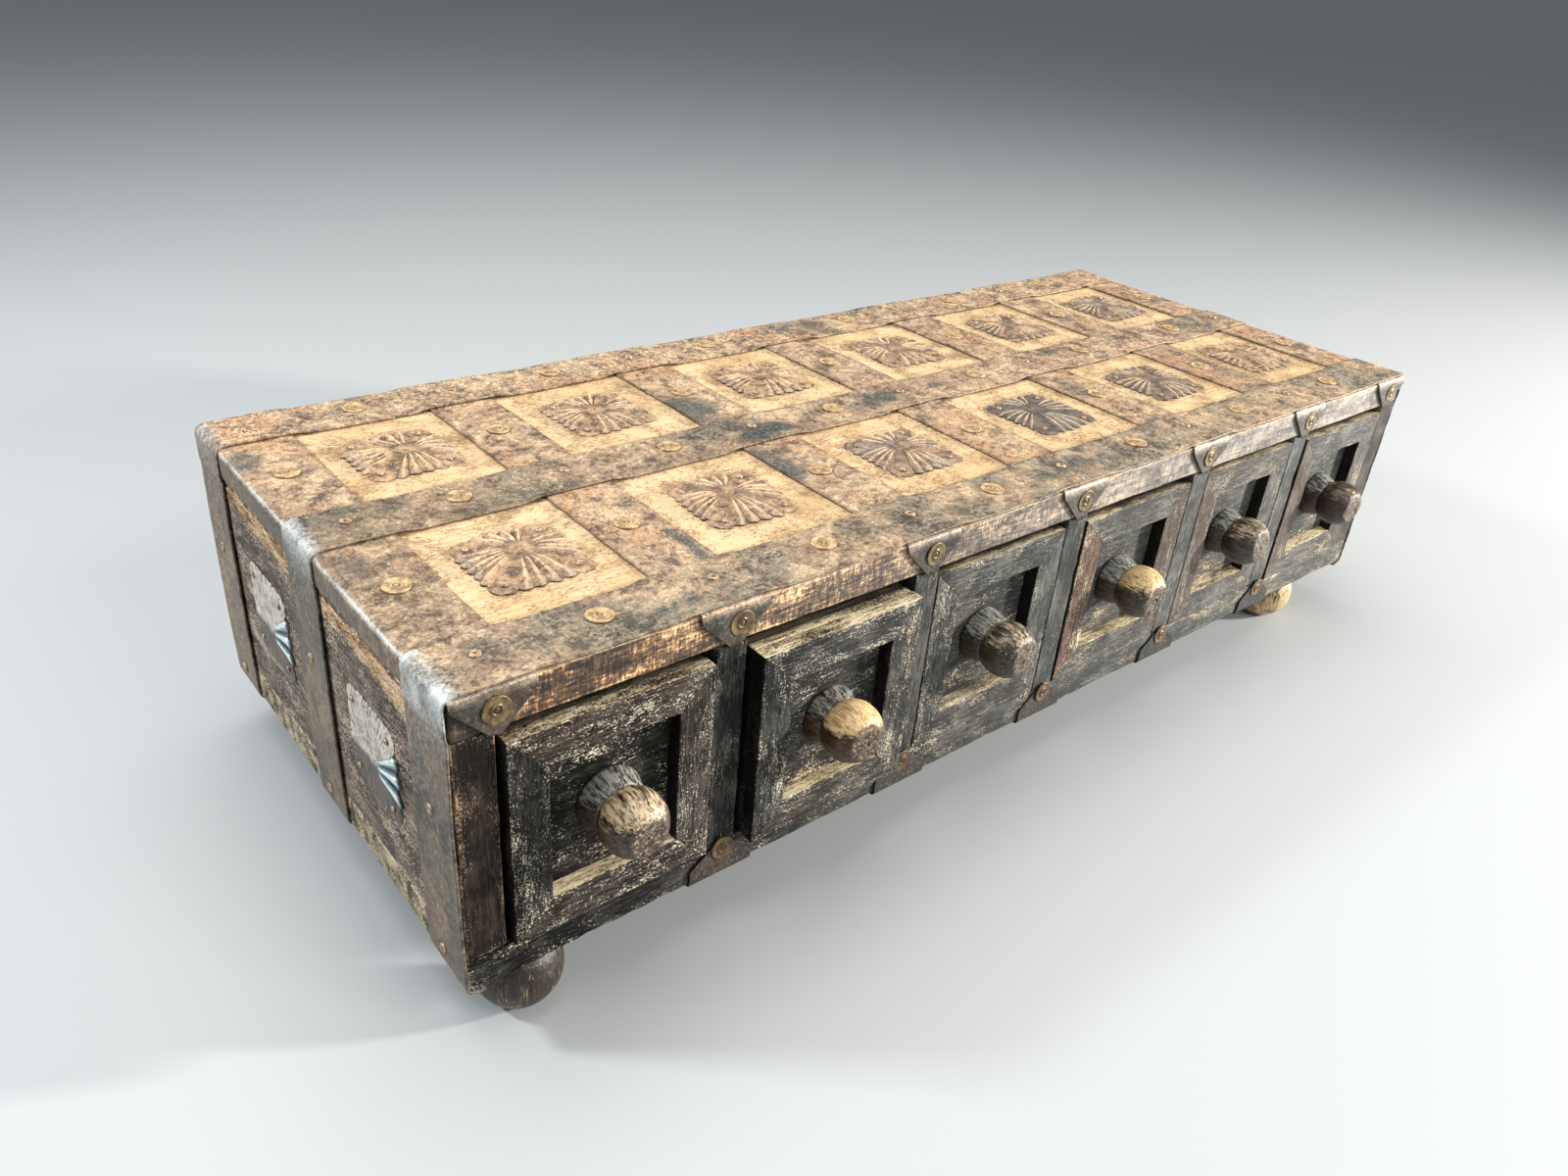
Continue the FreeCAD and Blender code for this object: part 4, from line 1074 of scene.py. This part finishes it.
def rosette_form(focus, flutes, crush, seed, ridge_height):
    """One pressed rosette lying flat: points, faces and its attributes."""
    across, up, reach, ripple, teal, between, crest, fine = rosette_outline(focus, flutes)
    share = np.concatenate([[0.04], np.linspace(0.1, 0.97, RINGS - 3), [0.99, 1.0]])
    u = focus[0] + across[None, :] * reach[None, :] * share[:, None]
    v = focus[1] + up[None, :] * reach[None, :] * share[:, None]
    flat = np.stack([u, v, np.zeros_like(u)], -1)
    envelope = smooth(0.08, 0.55, share) * (1 - 0.45 * smooth(0.86, 1.0, share))
    ridge = ripple[None, :] ** 0.6 * envelope[:, None]
    ridge = np.where(between[None, :], ridge, 0.4 * smooth(0.1, 0.4, share)[:, None])
    dented = smooth(0.1, 0.6, field(flat, 11, seed)) * crush
    height = ROSETTE_PLATE + ridge_height * ridge * (1 - 0.8 * dented)
    height += 0.35 * field(flat, 9, seed + 1) * (0.4 + crush) + 0.5 * np.exp(-(share / 0.12) ** 2)[:, None]
    lobe_spots = [(a * LOBE_AT, b * LOBE_AT) for a in (-1, 1) for b in (-1, 1)]
    to_nail = np.min([np.hypot(u - a, v - b) for a, b in lobe_spots], 0)
    ring = np.exp(-((to_nail - 3.4) / 0.8) ** 2)
    height = np.where(to_nail < LOBE_R, 0.6 + 0.35 * ring, height)
    height -= 0.25 * smooth(0.95, 1.0, share)[:, None]
    height = np.maximum(height, 0.3)
    rim_wander = 0.5 * field(flat, 4, seed + 2) * smooth(0.9, 1, share)[:, None]
    u = u + across[None, :] * rim_wander
    v = v + up[None, :] * rim_wander
    top = np.stack([u, v, height], -1)
    foot = np.stack([u[-1], v[-1], np.full(RAYS, 0.02)], -1)
    middle = np.array([[focus[0], focus[1], height[0].mean() + 0.05]])
    points = np.concatenate([middle, top.reshape(-1, 3), foot])
    number = np.arange(1, 1 + len(share) * RAYS).reshape(len(share), RAYS)
    skirt = np.arange(RAYS) + 1 + len(share) * RAYS
    faces = grid_faces(np.concatenate([number, skirt[None, :]]), flip=False, closed=True)
    faces += [[0, number[0, i], number[0, (i + 1) % RAYS]] for i in range(RAYS)]
    faces.append(skirt[::-1].tolist())
    ridge = np.where(to_nail < LOBE_R, 0.5, ridge)
    shown = {
        "ridge": (0.5, 0.5 + (np.clip(ridge / flutes[0][1], 0, 1) - 0.5) * smooth(0.08, 0.4, share)[:, None]),
        "nail": (0.0, np.exp(-np.maximum(to_nail - 1.2, 0) / 0.7)),
        "teal": (0.0, teal[None, :] * smooth(0.15, 0.4, share)[:, None]),
        "tip": (0.0, (ripple ** 3)[None, :] * smooth(0.7, 0.95, share)[:, None]),
        "crest": (0.5, crest[None, :] * smooth(0.1, 0.4, share)[:, None]),
        "ray": (0.5, 0.5 + (fine[None, :] - 0.5) * smooth(0.1, 0.5, share)[:, None]),
    }
    return points, faces, {key: np.concatenate([[first], rest.ravel(), np.zeros(RAYS)])
                           for key, (first, rest) in shown.items()}


def rosettes(material):
    """The pressed plates on the top and on both ends."""
    heap = Heap()
    for index, (low, high) in enumerate(sorted(islands("top_rosettes"), key=lambda b: tuple(b[0]))):
        centre = (low + high) / 2
        turn = math.radians(3.5 * math.sin(index * 2.4))
        focus = (3.5 + 2.2 * math.sin(index * 1.7), 7.0 + 1.5 * math.cos(index * 2.9))
        crush = 0.25 + 0.75 * (index % 3 == 1)
        points, faces, shown = rosette_form(focus, TOP_FLUTES, crush, 100 + index, 1.7)
        grey, gun = TOP_ROSETTES[index]
        spin = np.array([[math.cos(turn), -math.sin(turn)], [math.sin(turn), math.cos(turn)]])
        points[:, :2] = points[:, :2] @ spin.T + centre[:2]
        points[:, 2] += TOP_Z - 0.1
        heap.add(points, faces, grey=grey, gun=gun, dull=0.0, pale=0.0, **shown)
    heap.finish("top_rosettes_pressed", "carcass", "rosette_iron", [material], ["top_rosettes"])
    heap = Heap()
    for index, (low, high) in enumerate(islands("end_rosettes")):
        centre = (low + high) / 2
        side = math.copysign(1, centre[0])
        points, faces, shown = rosette_form((-2.4, -5.5), END_FLUTES, 0.1, 120 + index, 1.1)
        teal = shown["teal"]
        points[:, 2] = np.where(teal > 0.3, 0.2 + 1.5 * shown["crest"] ** 0.6 * teal, points[:, 2])
        points[:, 2] = np.minimum(points[:, 2], 1.75)
        wall = LEFT_X + 0.1 if side < 0 else RIGHT_X - 0.1
        low_part = smooth(-3, -7, points[:, 1]) * (1 - teal)
        placed = np.stack(
            [wall + side * points[:, 2], centre[1] + side * points[:, 0], centre[2] + points[:, 1]], 1)
        heap.add(placed, faces, grey=0.95, gun=0.0, dull=low_part, pale=(1 - teal) * (1 - low_part), **shown)
    heap.finish("end_rosettes_pressed", "carcass", "rosette_iron", [material], ["end_rosettes"])


# Fasteners


def spun(profile, count=28, wobble=0.0, seed=0):
    """A form turned round Z from (radius, height) points that start and end on the axis."""
    angles = np.linspace(0, 2 * math.pi, count, endpoint=False)
    rings = profile[1:-1]
    points = [(0, 0, profile[0][1])]
    for radius, height in rings:
        sway = 1 + wobble * np.sin(angles * 2 + seed) + wobble * 0.5 * np.sin(angles * 5 + seed * 2)
        points += [(radius * s * math.cos(a), radius * s * math.sin(a), height)
                   for a, s in zip(angles, sway)]
    points.append((0, 0, profile[-1][1]))
    number = np.arange(1, 1 + len(rings) * count).reshape(len(rings), count)
    faces = grid_faces(number, flip=True, closed=True)
    last = 1 + len(rings) * count
    faces += [[0, number[0, (i + 1) % count], number[0, i]] for i in range(count)]
    faces += [[last, number[-1, i], number[-1, (i + 1) % count]] for i in range(count)]
    return np.array(points, float), faces


def set_down(points, spot, out, lean=(0.0, 0.0)):
    """Points of a form standing on Z moved to a spot, facing out, with a small lean."""
    turn = Vector((0, 0, 1)).rotation_difference(Vector((out[0], out[1], out[2])))
    tilt = np.array(turn.to_matrix())
    leaned = points.copy()
    leaned[:, 2] += points[:, 0] * lean[0] + points[:, 1] * lean[1]
    return leaned @ tilt.T + spot


# Washer and nail head outlines as (radius, height), each with the painted shade and grime on every outline point.
WASHER_PROFILE = (
    (0, 1.1), (0.55, 1.08), (0.9, 0.9), (1.15, 0.7), (1.45, 1.0), (1.8, 1.2), (2.15, 1.02), (2.4, 0.78),
    (3.2, 0.72), (4.1, 0.76), (4.65, 0.92), (4.95, 0.95), (5.2, 0.8), (5.2, 0.35), (5.05, 0.0), (0, 0.0))
WASHER_DEEP = (0.2, 0.3, 0.7, 1, 0.35, 0, 0.25, 0.55, 0.12, 0, 0.05, 0, 0.2, 0.7, 0.9, 1)
NAIL_PROFILE = (
    (0, 0.35), (0.5, 0.38), (0.85, 0.6), (1.3, 0.85), (1.8, 0.8), (2.15, 0.5), (2.3, 0.1), (2.2, -0.3),
    (0, -0.3))
NAIL_DEEP = (1, 0.9, 0.4, 0, 0, 0.2, 0.6, 1, 1)


def profile_values(values, count=28):
    """Per-vertex numbers for a spun form, one for each profile point."""
    return np.concatenate([[values[0]], np.repeat(values[1:-1], count), [values[-1]]])


def fasteners(brass, iron):
    """Eyelet-like brass washers with their nails, the plain nails and the rosette nails."""
    heap = Heap()
    for index, (middle, out) in enumerate(WASHERS):
        points, faces = spun(WASHER_PROFILE, wobble=0.012, seed=index)
        thick = 0.8
        lean = (0.035 * math.sin(index * 2.3), 0.035 * math.cos(index * 1.9))
        placed = set_down(points, middle - out * thick / 2, out, lean)
        rusty = 0.7 if out[2] == 0 and middle[2] < (SHELL_Z + TOP_Z) / 2 else 0.15
        tan = float(out[2] > 0.5)
        deep = profile_values(WASHER_DEEP)
        heap.add(placed, faces, deep=deep, rusty=rusty, tan=tan)
    heap.finish("brass_washers_eyelets", "carcass", "washer_brass", [brass], ["brass_washers"])
    heap = Heap()
    for index, (head, out) in enumerate(STRAP_NAILS + ROSETTE_NAILS):
        scale = 1.0 if index < len(STRAP_NAILS) else 0.55
        points, faces = spun(NAIL_PROFILE, wobble=0.05, seed=index * 1.3)
        points *= (scale, scale, 0.9)
        heap.add(set_down(points, head - out * 0.85, out), faces, deep=profile_values(NAIL_DEEP))
    heap.finish("nails_heads", "carcass", "nail_iron", [iron], ["nails"])


# Turned pieces


SOFT_END = 0.6


def turned_form(profile, count, axis_out, spot, seed, facet=None, rough=0.02):
    """A turned wooden form from (radius, height, painted shade) points, worn out of round."""
    radii = np.array([p[0] for p in profile])
    heights = np.array([p[1] for p in profile])
    deep = np.array([p[2] for p in profile])
    angles = np.linspace(0, 2 * math.pi, count, endpoint=False)
    circle = np.stack([np.cos(angles), np.sin(angles)], -1)
    points = np.zeros((len(profile), count, 3))
    points[..., :2] = circle[None] * radii[:, None, None]
    points[..., 2] = heights[:, None]
    ray = np.concatenate([circle, np.zeros((count, 1))], 1)[None] * np.ones((len(profile), 1, 1))
    streaks = field(np.stack([circle[:, 0] * 6, circle[:, 1] * 6, angles * 0], -1), 1.2, seed)
    bumps = 0.5 * field(points + seed * 40, 5, seed) + 0.5 * streaks[None, :]
    points += ray * (bumps * rough * radii[:, None])[..., None]
    flat = np.zeros(points.shape[:2])
    if facet is not None:
        normal = np.array([facet[1], facet[2], 1.0])
        normal /= np.linalg.norm(normal)
        over = points @ normal - facet[0] * (1 + 0.02 * field(points, 3, seed + 5)) + SOFT_END
        flat = smooth(0.2 * SOFT_END, 1.1 * SOFT_END, over)
        kept = SOFT_END * (1 - np.exp(-np.maximum(over, 0) / SOFT_END))
        points -= (np.maximum(over, 0) - kept)[..., None] * normal
    number = np.arange(len(profile) * count).reshape(len(profile), count)
    faces = grid_faces(number, flip=True, closed=True)
    faces.append(number[0].tolist())
    faces.append(number[-1][::-1].tolist())
    placed = set_down(points.reshape(-1, 3), spot, axis_out)
    return placed, faces, flat.ravel(), np.repeat(deep, count)


# Each knob: the tilt of its worn end across and up, its noise seed and how pale its top is painted, as a highlight
KNOB_LOOKS = ((0.05, -0.08, 3, 0.5), (-0.06, 0.05, 5, 1.0), (0.08, 0.03, 8, 0.4),
              (-0.04, -0.06, 13, 0.65), (0.02, 0.08, 17, 0.42), (-0.07, 0.0, 23, 0.3))
KNOB_END_CUT = 2.4
KNOB_NECK_STEP = 1.9
KNOB_GROOVE = 0.8


def knob(number, material):
    """A turned knob: flared collar against the panel, a groove and a ball with a worn end."""
    low, high = millimetres(f"drawer_{number}_knob")
    face = millimetres(f"drawer_{number}_front_panel")[0][1]
    radius = (high[0] - low[0]) / 2
    tip = face - low[1]
    ball_at = tip + KNOB_END_CUT - radius
    neck = radius - KNOB_NECK_STEP
    neck_at = ball_at - math.sqrt(radius ** 2 - neck ** 2)
    # The third number of each point is painted shade: against the panel, low on the collar and in the groove.
    profile = [(0.6, 0.0, 1.0), (neck + 1.7, 0.0, 1.0), (neck + 2.0, 0.5, 0.6)]
    for share in np.linspace(0.1, 1, 10):
        flare = 2.1 * (1 - share) ** 0.8 - 0.5 * share ** 3
        profile.append((neck + flare, 0.5 + (neck_at - 1.0) * share, 0.1 * (1 - share)))
    profile.append((neck - KNOB_GROOVE, neck_at - 0.35, 0.9))
    profile.append((neck - KNOB_GROOVE, neck_at + 0.05, 0.9))
    start = math.asin((neck - 0.2) / radius)
    for angle in np.linspace(math.pi - start, 0.05, 36):
        profile.append((radius * math.sin(angle), ball_at + radius * math.cos(angle), 0.0))
    lean_x, lean_y, seed, top_bare = KNOB_LOOKS[number - 1]
    spot = np.array([(low[0] + high[0]) / 2, face, (low[2] + high[2]) / 2])
    facet = (tip - 0.45, lean_x, lean_y)
    form = turned_form(profile, 80, np.array([0, -1.0, 0]), spot, seed, facet=facet, rough=0.018)
    points, faces, flat, deep = form
    points[:, 1] = np.maximum(points[:, 1], low[1])
    along = face - points[:, 1]
    collar = 1 - smooth(neck_at - 0.6, neck_at + 0.2, along)
    upward = (points[:, 2] - spot[2]) / radius
    # Painted highlight: the tops of the ball and of the collar are painted bare and pale.
    bare = top_bare * smooth(0.0, 0.8, upward) * (1 - collar) + 0.6 * collar * smooth(0.0, 0.7, upward)
    piece(f"drawer_{number}_knob_turned", points, faces, f"drawer_{number}", "knob_wood",
          [material], [f"drawer_{number}_knob"], facet=flat, deep=deep, bare=bare, collar=collar)


FOOT_FLAT_CUT = 1.7


def foot(name, material, seed, bare):
    """A turned ball foot, flat where it stands and against the bottom board."""
    low, high = millimetres(name)
    radius = (high[0] - low[0]) / 2
    centre_z = radius - FOOT_FLAT_CUT
    height = SHELL_Z
    first = math.acos(np.clip((centre_z - 0.0) / radius, -1, 1))
    last = math.acos(np.clip((height - centre_z) / radius, -1, 1))
    profile = [(0.5, 0.0, 0.6)]
    for angle in np.linspace(math.pi - first, last, 40):
        reach = radius * math.sin(angle)
        z = centre_z + radius * math.cos(angle)
        # The third number is painted shade, strongest where the ball meets the bottom board.
        ring = 0.18 * math.exp(-((z - centre_z - 6) / 0.7) ** 2)
        profile.append((reach - ring, z, 0.5 * math.exp(-abs(z - height) / 1.5)))
    profile.append((0.5, height, 1.0))
    spot = np.array([(low[0] + high[0]) / 2, (low[1] + high[1]) / 2, 0.0])
    points, faces, flat, deep = turned_form(profile, 80, np.array([0, 0, 1.0]), spot, seed, rough=0.006)
    points[:, 2] = np.clip(points[:, 2], 0, height)
    piece(f"{name}_turned", points, faces, "carcass", "foot_wood", [material], [name],
          facet=flat, deep=deep, bare=np.full(len(points), bare))


# Drawers

SIDES = ("top", "bottom", "left", "right")
# Each drawer: how bare and how red its top, bottom, left and right moulding are
DRAWER_LOOKS = (
    ((-0.02, 0.12, -0.2, 0.0), (0.15, 0.1, 0.0, 0.1)),
    ((0.0, 0.07, 0.06, 0.14), (0.0, 0.1, 0.0, 0.0)),
    ((-0.02, -0.05, -0.1, -0.04), (0.0, 0.1, 0.0, 0.0)),
    ((0.02, 0.04, 0.14, 0.1), (0.1, 0.1, 0.8, 0.4)),
    ((0.04, 0.06, 0.08, 0.06), (0.2, 0.1, 0.4, 0.1)),
    ((0.06, 0.1, 0.1, 0.12), (0.1, 0.2, 0.4, 0.1)),
)
RAW_TOP = 0.4
RAW_LEDGE = 0.46


def moulding_strip(length, depth, seed, mirrored):
    """A mitred strip along X, outer edge at y 0, face at z = depth: points, faces, edge."""
    width = MOULDING_W
    rise = [0.0, 0.25, 0.6, 1.1, 2.0, 3.5, depth - 2.2, depth - 1.1, depth - 0.6, depth - 0.25]
    over = [0.0, 0.25, 0.6, 1.1, 2.0, 3.5, 5.5, 7.5, 9.5, 11.5, 13.0, 13.9, 14.4, 14.75]
    section = [(0.0, z) for z in rise] + [(w, depth) for w in over]
    section += [(width, z) for z in reversed(rise)] + [(w, 0.0) for w in (13, 9, 5, 2)]
    section.insert(len(rise) + len(over), (width, depth))
    shares = np.concatenate([[0, 0.004, 0.012, 0.03], np.linspace(0.06, 0.94, 38), [0.97, 0.988, 0.996, 1]])
    points = np.zeros((len(section), len(shares), 3))
    edge = np.zeros(points.shape[:2])
    for row, (w, z) in enumerate(section):
        start = w + MITRE_GAP
        end = length - w - MITRE_GAP
        points[row, :, 0] = start + (end - start) * shares
        points[row, :, 1] = w
        points[row, :, 2] = z
        to_mitre = np.minimum(points[row, :, 0] - start, end - points[row, :, 0]) * 0.7
        to_side = min(w, width - w) if z >= depth else depth - z
        to_edge = np.minimum(to_side if 0 < z else depth, to_mitre + 1.2)
        edge[row] = np.clip(1 - to_edge / EDGE_REACH, 0, 1) ** 2.5
    place = points + seed * 31.0
    radius = 0.55 * (1 + 0.5 * field(place, 7, seed)) + 1.0 * smooth(0.5, 0.95, field(place, 3.5, seed + 1))
    low = np.stack([radius, radius - 5], -1)
    core_y = np.clip(points[..., 1], radius, width - radius)
    core_z = np.clip(points[..., 2], -5, depth - radius)
    out = np.stack([points[..., 1] - core_y, points[..., 2] - core_z], -1)
    size = np.maximum(np.linalg.norm(out, axis=-1, keepdims=True), 1e-9)
    bumps = 0.16 * (0.5 + 0.5 * field(place, 10, seed + 2))
    shown = np.linalg.norm(out, axis=-1) > 1e-6
    moved = np.stack([core_y, core_z], -1) + out / size * (radius - bumps)[..., None]
    points[..., 1] = np.where(shown, moved[..., 0], points[..., 1])
    points[..., 2] = np.where(shown, np.maximum(moved[..., 1], 0), points[..., 2])
    number = np.arange(points.shape[0] * points.shape[1]).reshape(points.shape[:2])
    loop = np.concatenate([number, number[:1]])
    faces = grid_faces(loop, flip=mirrored)
    ends = [number[:, 0].tolist(), number[:, -1].tolist()]
    faces.append(ends[0] if mirrored else ends[0][::-1])
    faces.append(ends[1][::-1] if mirrored else ends[1])
    del low
    return points.reshape(-1, 3), faces, edge.ravel()


def moulding(number, palette):
    """The four mitred strips round a drawer's panel."""
    name = f"drawer_{number}"
    bares, reds = DRAWER_LOOKS[number - 1]
    low, high = millimetres(f"{name}_moulding")
    size = high - low
    middle = (low + high) / 2
    half = np.array([size[0], size[2]]) / 2
    frames = (((-1, 0), (0, -1)), ((1, 0), (0, 1)), ((0, -1), (1, 0)), ((0, 1), (-1, 0)))
    heap = Heap()
    upright_from = 0
    for index, side in enumerate(SIDES):
        along, inward = (np.array(way) for way in frames[index])
        upright = index > 1
        length = size[2] if upright else size[0]
        points, faces, edge = moulding_strip(length, size[1], number * 7 + index, upright)
        flat = np.outer(points[:, 0] - length / 2, along) + np.outer(points[:, 1], inward) - inward * half
        placed = np.stack([middle[0] + flat[:, 0], high[1] - points[:, 2], middle[2] + flat[:, 1]], 1)
        outer = (points[:, 1] < 0.35) & (points[:, 2] < size[1] - 0.5)
        inner = (points[:, 1] > MOULDING_W - 0.5) & (points[:, 2] < size[1] - 0.3)
        inside = smooth(FRONT_Y + 1, FRONT_Y + 5, placed[:, 1])
        raw = RAW_TOP * outer * (side == "top") + RAW_LEDGE * inner * (side == "bottom")
        # Painted shade: black on the outer sides, on the top strip's upper face inside the bay and on the inner sides
        # except the ledge; more on the first drawer's left strip.
        soot = outer * np.where(side == "top", inside, 1.0) + inner * (side != "bottom")
        soot = np.maximum(soot, 0.45 if number == 1 and side == "left" else 0.0)
        heap.add(placed, faces, edge=edge, bare=bares[index] + raw, red=reds[index], soot=soot)
        upright_from = len(heap.faces) if index == 1 else upright_from
    thing = heap.finish(f"{name}_moulding_worn", name, "drawer_wood",
                        [palette["moulding"], palette["upright"]], [f"{name}_moulding"])
    kinds = [int(index >= upright_from) for index in range(len(thing.data.polygons))]
    thing.data.polygons.foreach_set("material_index", kinds)


def drawer(number, palette):
    """One drawer with its panel, four mitred mouldings, tray, bottom and knob."""
    name = f"drawer_{number}"
    moulding(number, palette)
    low, high = millimetres(f"{name}_front_panel")
    points, faces, edge, out = board_form(low, high, step=3.5, seed=30 + number, chips=0.6)
    foot_of_panel = 0.16 * smooth(low[2] + 34, low[2] + 18, points[:, 2])
    # Painted shade on the panel's sides and on its top face inside the bay.
    piece(f"{name}_panel_worn", points, faces, name, "drawer_wood", [palette["panel"]],
          [f"{name}_front_panel"], edge=edge * 0.3,
          soot=smooth(0.5, 0.8, np.maximum(np.abs(out[:, 0]), out[:, 2] * (points[:, 1] > FRONT_Y + 3))),
          bare=RAW_TOP * (out[:, 2] > 0.7) + foot_of_panel)
    tray(name, palette["tray"])
    low, high = millimetres(f"{name}_bottom")
    board(f"{name}_bottom_worn", low, high, name, "tray_wood", palette["tray"],
          [f"{name}_bottom"], step=8.0, seed=50 + number, rounds=0.4, chips=0.2)
    knob(number, palette["knobs"][number - 1])


def tray(name, material):
    """The two sides and the back of a drawer's tray."""
    low, high = millimetres(f"{name}_tray")
    walls = [
        (low, np.array([low[0] + TRAY_WALL, high[1], high[2]])),
        (np.array([high[0] - TRAY_WALL, low[1], low[2]]), high),
        (np.array([low[0] + TRAY_WALL, high[1] - TRAY_WALL, low[2]]),
         np.array([high[0] - TRAY_WALL, high[1], high[2]])),
    ]
    heap = Heap()
    for index, (start, end) in enumerate(walls):
        points, faces, edge, _ = board_form(start, end, step=9.0, seed=60 + index, rounds=0.5, chips=0.4)
        heap.add(points, faces, edge=edge, bare=0.0)
    heap.finish(f"{name}_tray_worn", name, "tray_wood", [material], [f"{name}_tray"])


# Stage

CAMERA_AT = (-0.41363, -0.38184, 0.36168)
CAMERA_TURN = (59.942, -4.3231, -39.0723)
CAMERA_LENS = 27.037


def camera():
    """The photograph's viewpoint."""
    data = bpy.data.cameras.new("camera")
    data.lens = CAMERA_LENS
    data.sensor_width = 36.0
    data.clip_start = 0.01
    thing = bpy.data.objects.new("camera", data)
    thing.location = CAMERA_AT
    thing.rotation_euler = [math.radians(angle) for angle in CAMERA_TURN]
    bpy.context.scene.collection.objects.link(thing)
    bpy.context.scene.camera = thing


def area_light(name, at, size, watts, target=(0, 0, 0.08), color=(1, 1, 1)):
    """A soft light aimed at the chest."""
    data = bpy.data.lights.new(name, "AREA")
    data.shape = "RECTANGLE"
    data.size, data.size_y = size
    data.energy = watts
    data.color = color
    thing = bpy.data.objects.new(name, data)
    thing.location = at
    aim = Vector(target) - Vector(at)
    thing.rotation_euler = aim.to_track_quat("-Z", "Y").to_euler()
    bpy.context.scene.collection.objects.link(thing)


def stage():
    """A plain pale floor, a plain world and soft studio lights."""
    bpy.ops.mesh.primitive_plane_add(size=80, location=(0, 0, 0))
    floor = bpy.context.active_object
    floor.name = "floor"
    floor.data.materials.append(plain("floor_pale", rgb(172, 175, 176), 0.6))
    world = bpy.data.worlds.new("world")
    world.use_nodes = True
    background = world.node_tree.nodes["Background"]
    background.inputs["Color"].default_value = (0.85, 0.92, 1.0, 1)
    background.inputs["Strength"].default_value = 0.25
    bpy.context.scene.world = world
    area_light("overhead", (-0.15, 0.2, 1.5), (1.5, 1.0), 22.5, color=(1.0, 0.98, 0.95))
    area_light("front", (0.1, -1.2, 1.1), (0.7, 0.3), 9, color=(1.0, 0.98, 0.95))
    area_light("key", (1.5, -1.06, 0.5), (0.14, 0.14), 70, color=(1.0, 0.97, 0.92))
    area_light("left_fill", (-1.1, 0.55, 0.95), (0.16, 0.16), 15, color=(0.92, 0.97, 1.0))
    bpy.context.scene.view_settings.view_transform = "Standard"


GOLD = (rgb(240, 210, 154), rgb(140, 103, 65))
PALE_GOLD = (rgb(228, 204, 164), rgb(104, 80, 58))
KNOB_COATS = (
    (PALE_GOLD, (rgb(108, 88, 70), rgb(22, 18, 16)), 0.46), (GOLD, (rgb(112, 76, 46), rgb(22, 16, 13)), 0.56),
    (PALE_GOLD, (rgb(92, 86, 66), rgb(32, 30, 25)), 0.5), (GOLD, (rgb(96, 80, 58), rgb(36, 31, 27)), 0.46),
    (PALE_GOLD, (rgb(92, 78, 66), rgb(34, 29, 26)), 0.52), (GOLD, (rgb(76, 56, 46), rgb(30, 24, 21)), 0.54))


def make_palette():
    """Every material by the part it is for."""
    knobs = [turned_wood(f"knob_wood_{index + 1}", 1, fill, gold, coat, 200 + 5 * index)
             for index, (gold, coat, fill) in enumerate(KNOB_COATS)]
    return {
        "top": top_wood(),
        "rail": rail_wood(),
        "base": worn_wood("base_wood", 0, 0.3, raw=BASE_RAW, wear=0.06, east=0.12, seed=21),
        "side": worn_wood("side_wood", 2, 0.46, raw=ORANGE, coat=BROWN_COAT, dots=0.25, wear=0.42, haze=0.3, seed=31),
        "end": worn_wood("end_wood", 1, 0.27, raw=END_RAW, coat=END_COAT, dense=0.115, wear=0.1, haze=0.0, seed=36),
        "back": worn_wood("back_wood", 0, 0.2, raw=ORANGE, coat=BROWN_COAT, seed=41),
        "partition": worn_wood("partition_wood", 2, 0.42, coat=BLACK_COAT, dots=0.5, wear=0.1, east=0.04, seed=51),
        "moulding": worn_wood("moulding_wood", 0, 0.34, speck=0.55, dots=1.25, dense=0.055, wear=0.1, seed=61),
        "upright": worn_wood("upright_wood", 2, 0.35, speck=0.55, dots=1.25, dense=0.06, wear=0.1, seed=66),
        "panel": worn_wood("panel_wood", 0, 0.3, dots=1.1, dense=0.045, wear=0.1, haze=0.55, seed=71),
        "tray": worn_wood("tray_wood", 1, -0.1, raw=ORANGE, coat=BROWN_COAT, seed=81),
        "knobs": knobs,
        "foot": turned_wood("foot_wood", 2, 0.34, GOLD, (rgb(66, 52, 40), rgb(26, 21, 18)), 300),
        "strap": strap_iron(),
        "rosette": rosette_iron(),
        "brass": washer_brass(),
        "nail": nail_iron(),
    }


FEET = (("foot_front_left", 0.0), ("foot_front_right", 0.38), ("foot_back_left", 0.1), ("foot_back_right", 0.2))


def build():
    """The whole dressed chest on its stage."""
    camera()
    stage()
    palette = make_palette()
    carcass(palette)
    for index in range(3):
        long_strap(index, palette["strap"])
    for number in range(1, 8):
        cross_strap(number, palette["strap"])
    underside_straps(palette["strap"])
    rosettes(palette["rosette"])
    fasteners(palette["brass"], palette["nail"])
    for seed, (name, bare) in enumerate(FEET):
        foot(name, palette["foot"], 400 + seed, bare)
    for number in range(1, 7):
        drawer(number, palette)


build()
